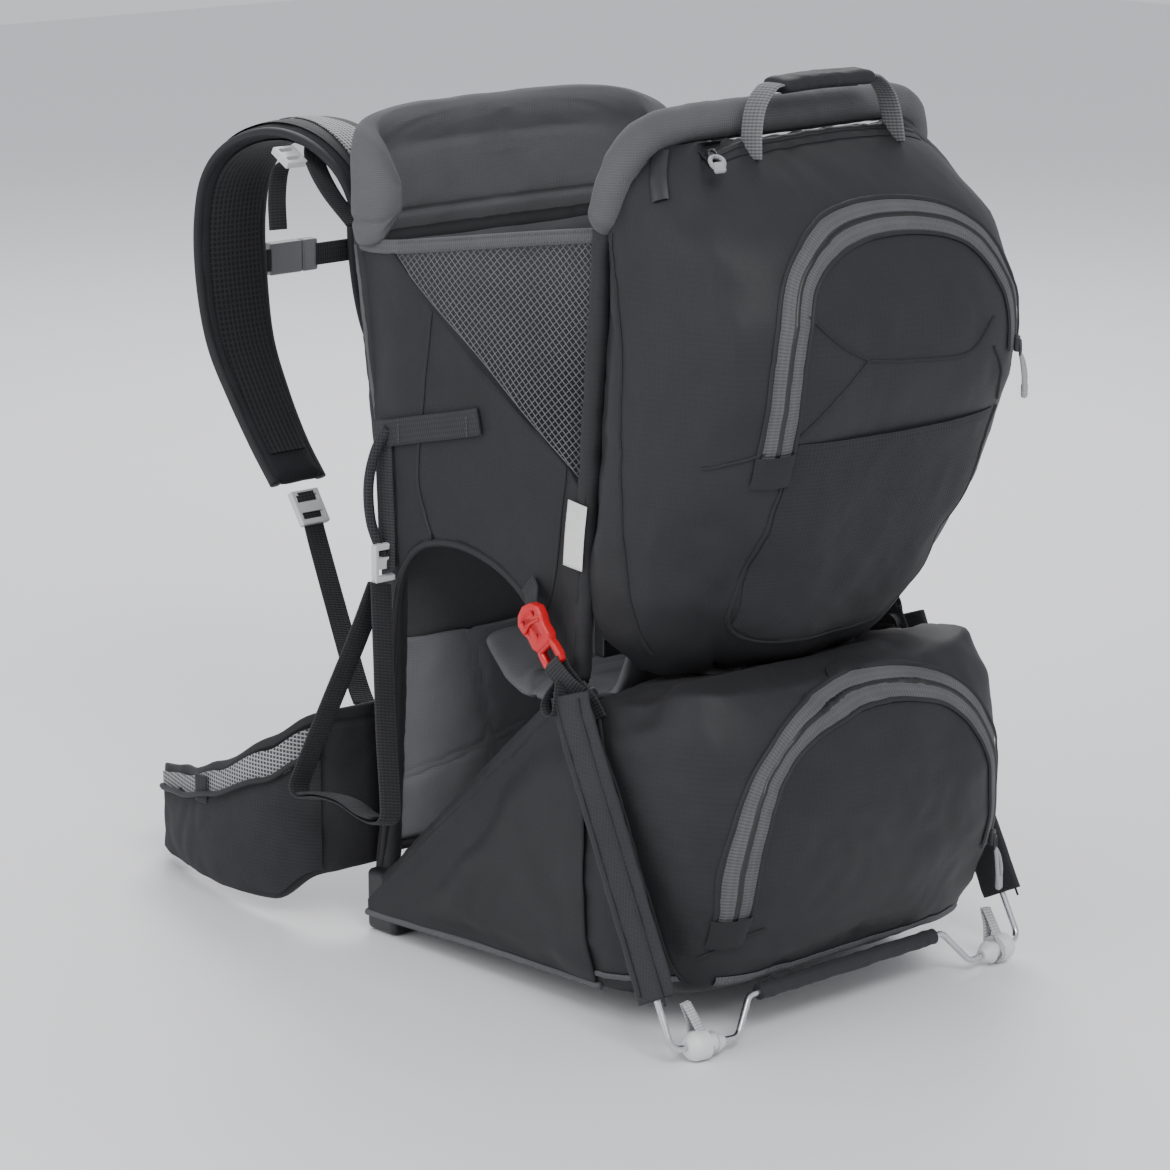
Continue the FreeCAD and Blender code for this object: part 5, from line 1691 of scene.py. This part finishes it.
CAMERA_PLACE = (-2032.3, -1958.6, 1027.5)  # mm, as spot takes it
AIM_HEIGHT = 0.35
LAMPS = (
    # name, place, power in watts, width
    ("key", (-1.2, -2.6, 2.6), 78, 1.6),
    ("fill", (-3.0, 0.4, 1.4), 40, 2.2),
    ("rim", (1.6, 1.8, 2.4), 60, 1.6),
)


class CARRIER_OT_stage(bpy.types.Operator):
    """Pale floor, soft studio lights and the camera"""
    bl_idname = "carrier.stage"
    bl_label = "Stage"

    def execute(self, context):
        scene = context.scene
        bm = bmesh.new()
        bmesh.ops.create_grid(bm, x_segments=1, y_segments=1, size=6)
        bmesh.ops.translate(bm, vec=(0, 0, -0.0005), verts=bm.verts)
        pale, _, _ = material_base("pale_floor", (0.82, 0.82, 0.83), 0.7)
        floor = finish_mesh("floor", bm, pale, False)
        world = bpy.data.worlds.new("studio")
        scene.world = world
        world.use_nodes = True
        sky = world.node_tree.nodes["Background"]
        sky.inputs["Color"].default_value = (0.93, 0.95, 1.0, 1)
        sky.inputs["Strength"].default_value = 0.8
        for label, place, power, size in LAMPS:
            lamp = bpy.data.lights.new(label, "AREA")
            lamp.energy = power
            lamp.size = size
            light = bpy.data.objects.new(label, lamp)
            scene.collection.objects.link(light)
            light.location = place
            light.rotation_euler = (UP * AIM_HEIGHT - Vector(place)).to_track_quat("-Z", "Y").to_euler()
        eye = bpy.data.cameras.new("camera")
        eye.lens = scene.carrier_stage.lens
        eye.sensor_width = 36.0
        camera = bpy.data.objects.new("camera", eye)
        scene.collection.objects.link(camera)
        scene.camera = camera
        turn = scene.carrier_stage.azimuth
        tip = scene.carrier_stage.elevation
        back = Vector((math.sin(turn) * math.cos(tip), -math.cos(turn) * math.cos(tip), math.sin(tip)))
        camera.location = spot(*CAMERA_PLACE)
        camera.rotation_euler = back.to_track_quat("Z", "Y").to_euler()
        return {"FINISHED"}


# ------------------------------------------------------------------ add-on

class CarrierFinish(bpy.types.PropertyGroup):
    shell_color: FloatVectorProperty(name="Shell", description="Charcoal shell cloth", subtype="COLOR",
                                     default=(0.018, 0.018, 0.020), min=0, max=1)
    grey_color: FloatVectorProperty(name="Grey", description="Grey rim, tape and pads", subtype="COLOR",
                                    default=(0.075, 0.075, 0.079), min=0, max=1)
    buckle_color: FloatVectorProperty(name="Release", description="Bright release buckles", subtype="COLOR",
                                      default=(0.50, 0.008, 0.012), min=0, max=1)


class CarrierSizes(bpy.types.PropertyGroup):
    panel_area: FloatProperty(name="Side cloth", description="Cut area of one side panel in square metres",
                              default=0.0500, min=0.01)


class CarrierStage(bpy.types.PropertyGroup):
    lens: FloatProperty(name="Lens", description="Focal length in mm", default=122.46, min=10)
    azimuth: FloatProperty(name="Azimuth", description="Way round the carrier", unit="ROTATION",
                           default=math.radians(-42.0))
    elevation: FloatProperty(name="Elevation", description="Height of the view", unit="ROTATION",
                             default=math.radians(13.982))


class CARRIER_PT_panel(bpy.types.Panel):
    """Steps that build the carrier"""
    bl_label = "Carrier"
    bl_space_type = "VIEW_3D"
    bl_region_type = "UI"
    bl_category = "Carrier"

    def draw(self, context):
        column = self.layout.column()
        for operator in STEPS:
            column.operator(operator.bl_idname)


STEPS = [CARRIER_OT_stage, CARRIER_OT_bags, CARRIER_OT_zips, CARRIER_OT_covers, CARRIER_OT_sides,
         CARRIER_OT_linings,
         CARRIER_OT_pads, CARRIER_OT_harness, CARRIER_OT_belt, CARRIER_OT_releases, CARRIER_OT_loops,
         CARRIER_OT_stand,
         CARRIER_OT_pulls, CARRIER_OT_finishes]
CLASSES = [CarrierFinish, CarrierSizes, CarrierStage, CARRIER_PT_panel] + STEPS


def register():
    for item in CLASSES:
        bpy.utils.register_class(item)
    bpy.types.Scene.carrier_finish = PointerProperty(type=CarrierFinish)
    bpy.types.Scene.carrier_sizes = PointerProperty(type=CarrierSizes)
    bpy.types.Scene.carrier_stage = PointerProperty(type=CarrierStage)


def unregister():
    del bpy.types.Scene.carrier_stage
    del bpy.types.Scene.carrier_sizes
    del bpy.types.Scene.carrier_finish
    for item in reversed(CLASSES):
        bpy.utils.unregister_class(item)


def main():
    register()
    noise.seed_set(FOLD_SEED)
    make_looks()
    for operator in STEPS:
        getattr(bpy.ops.carrier, operator.bl_idname.split(".")[1])()


if __name__ == "__main__":
    main()
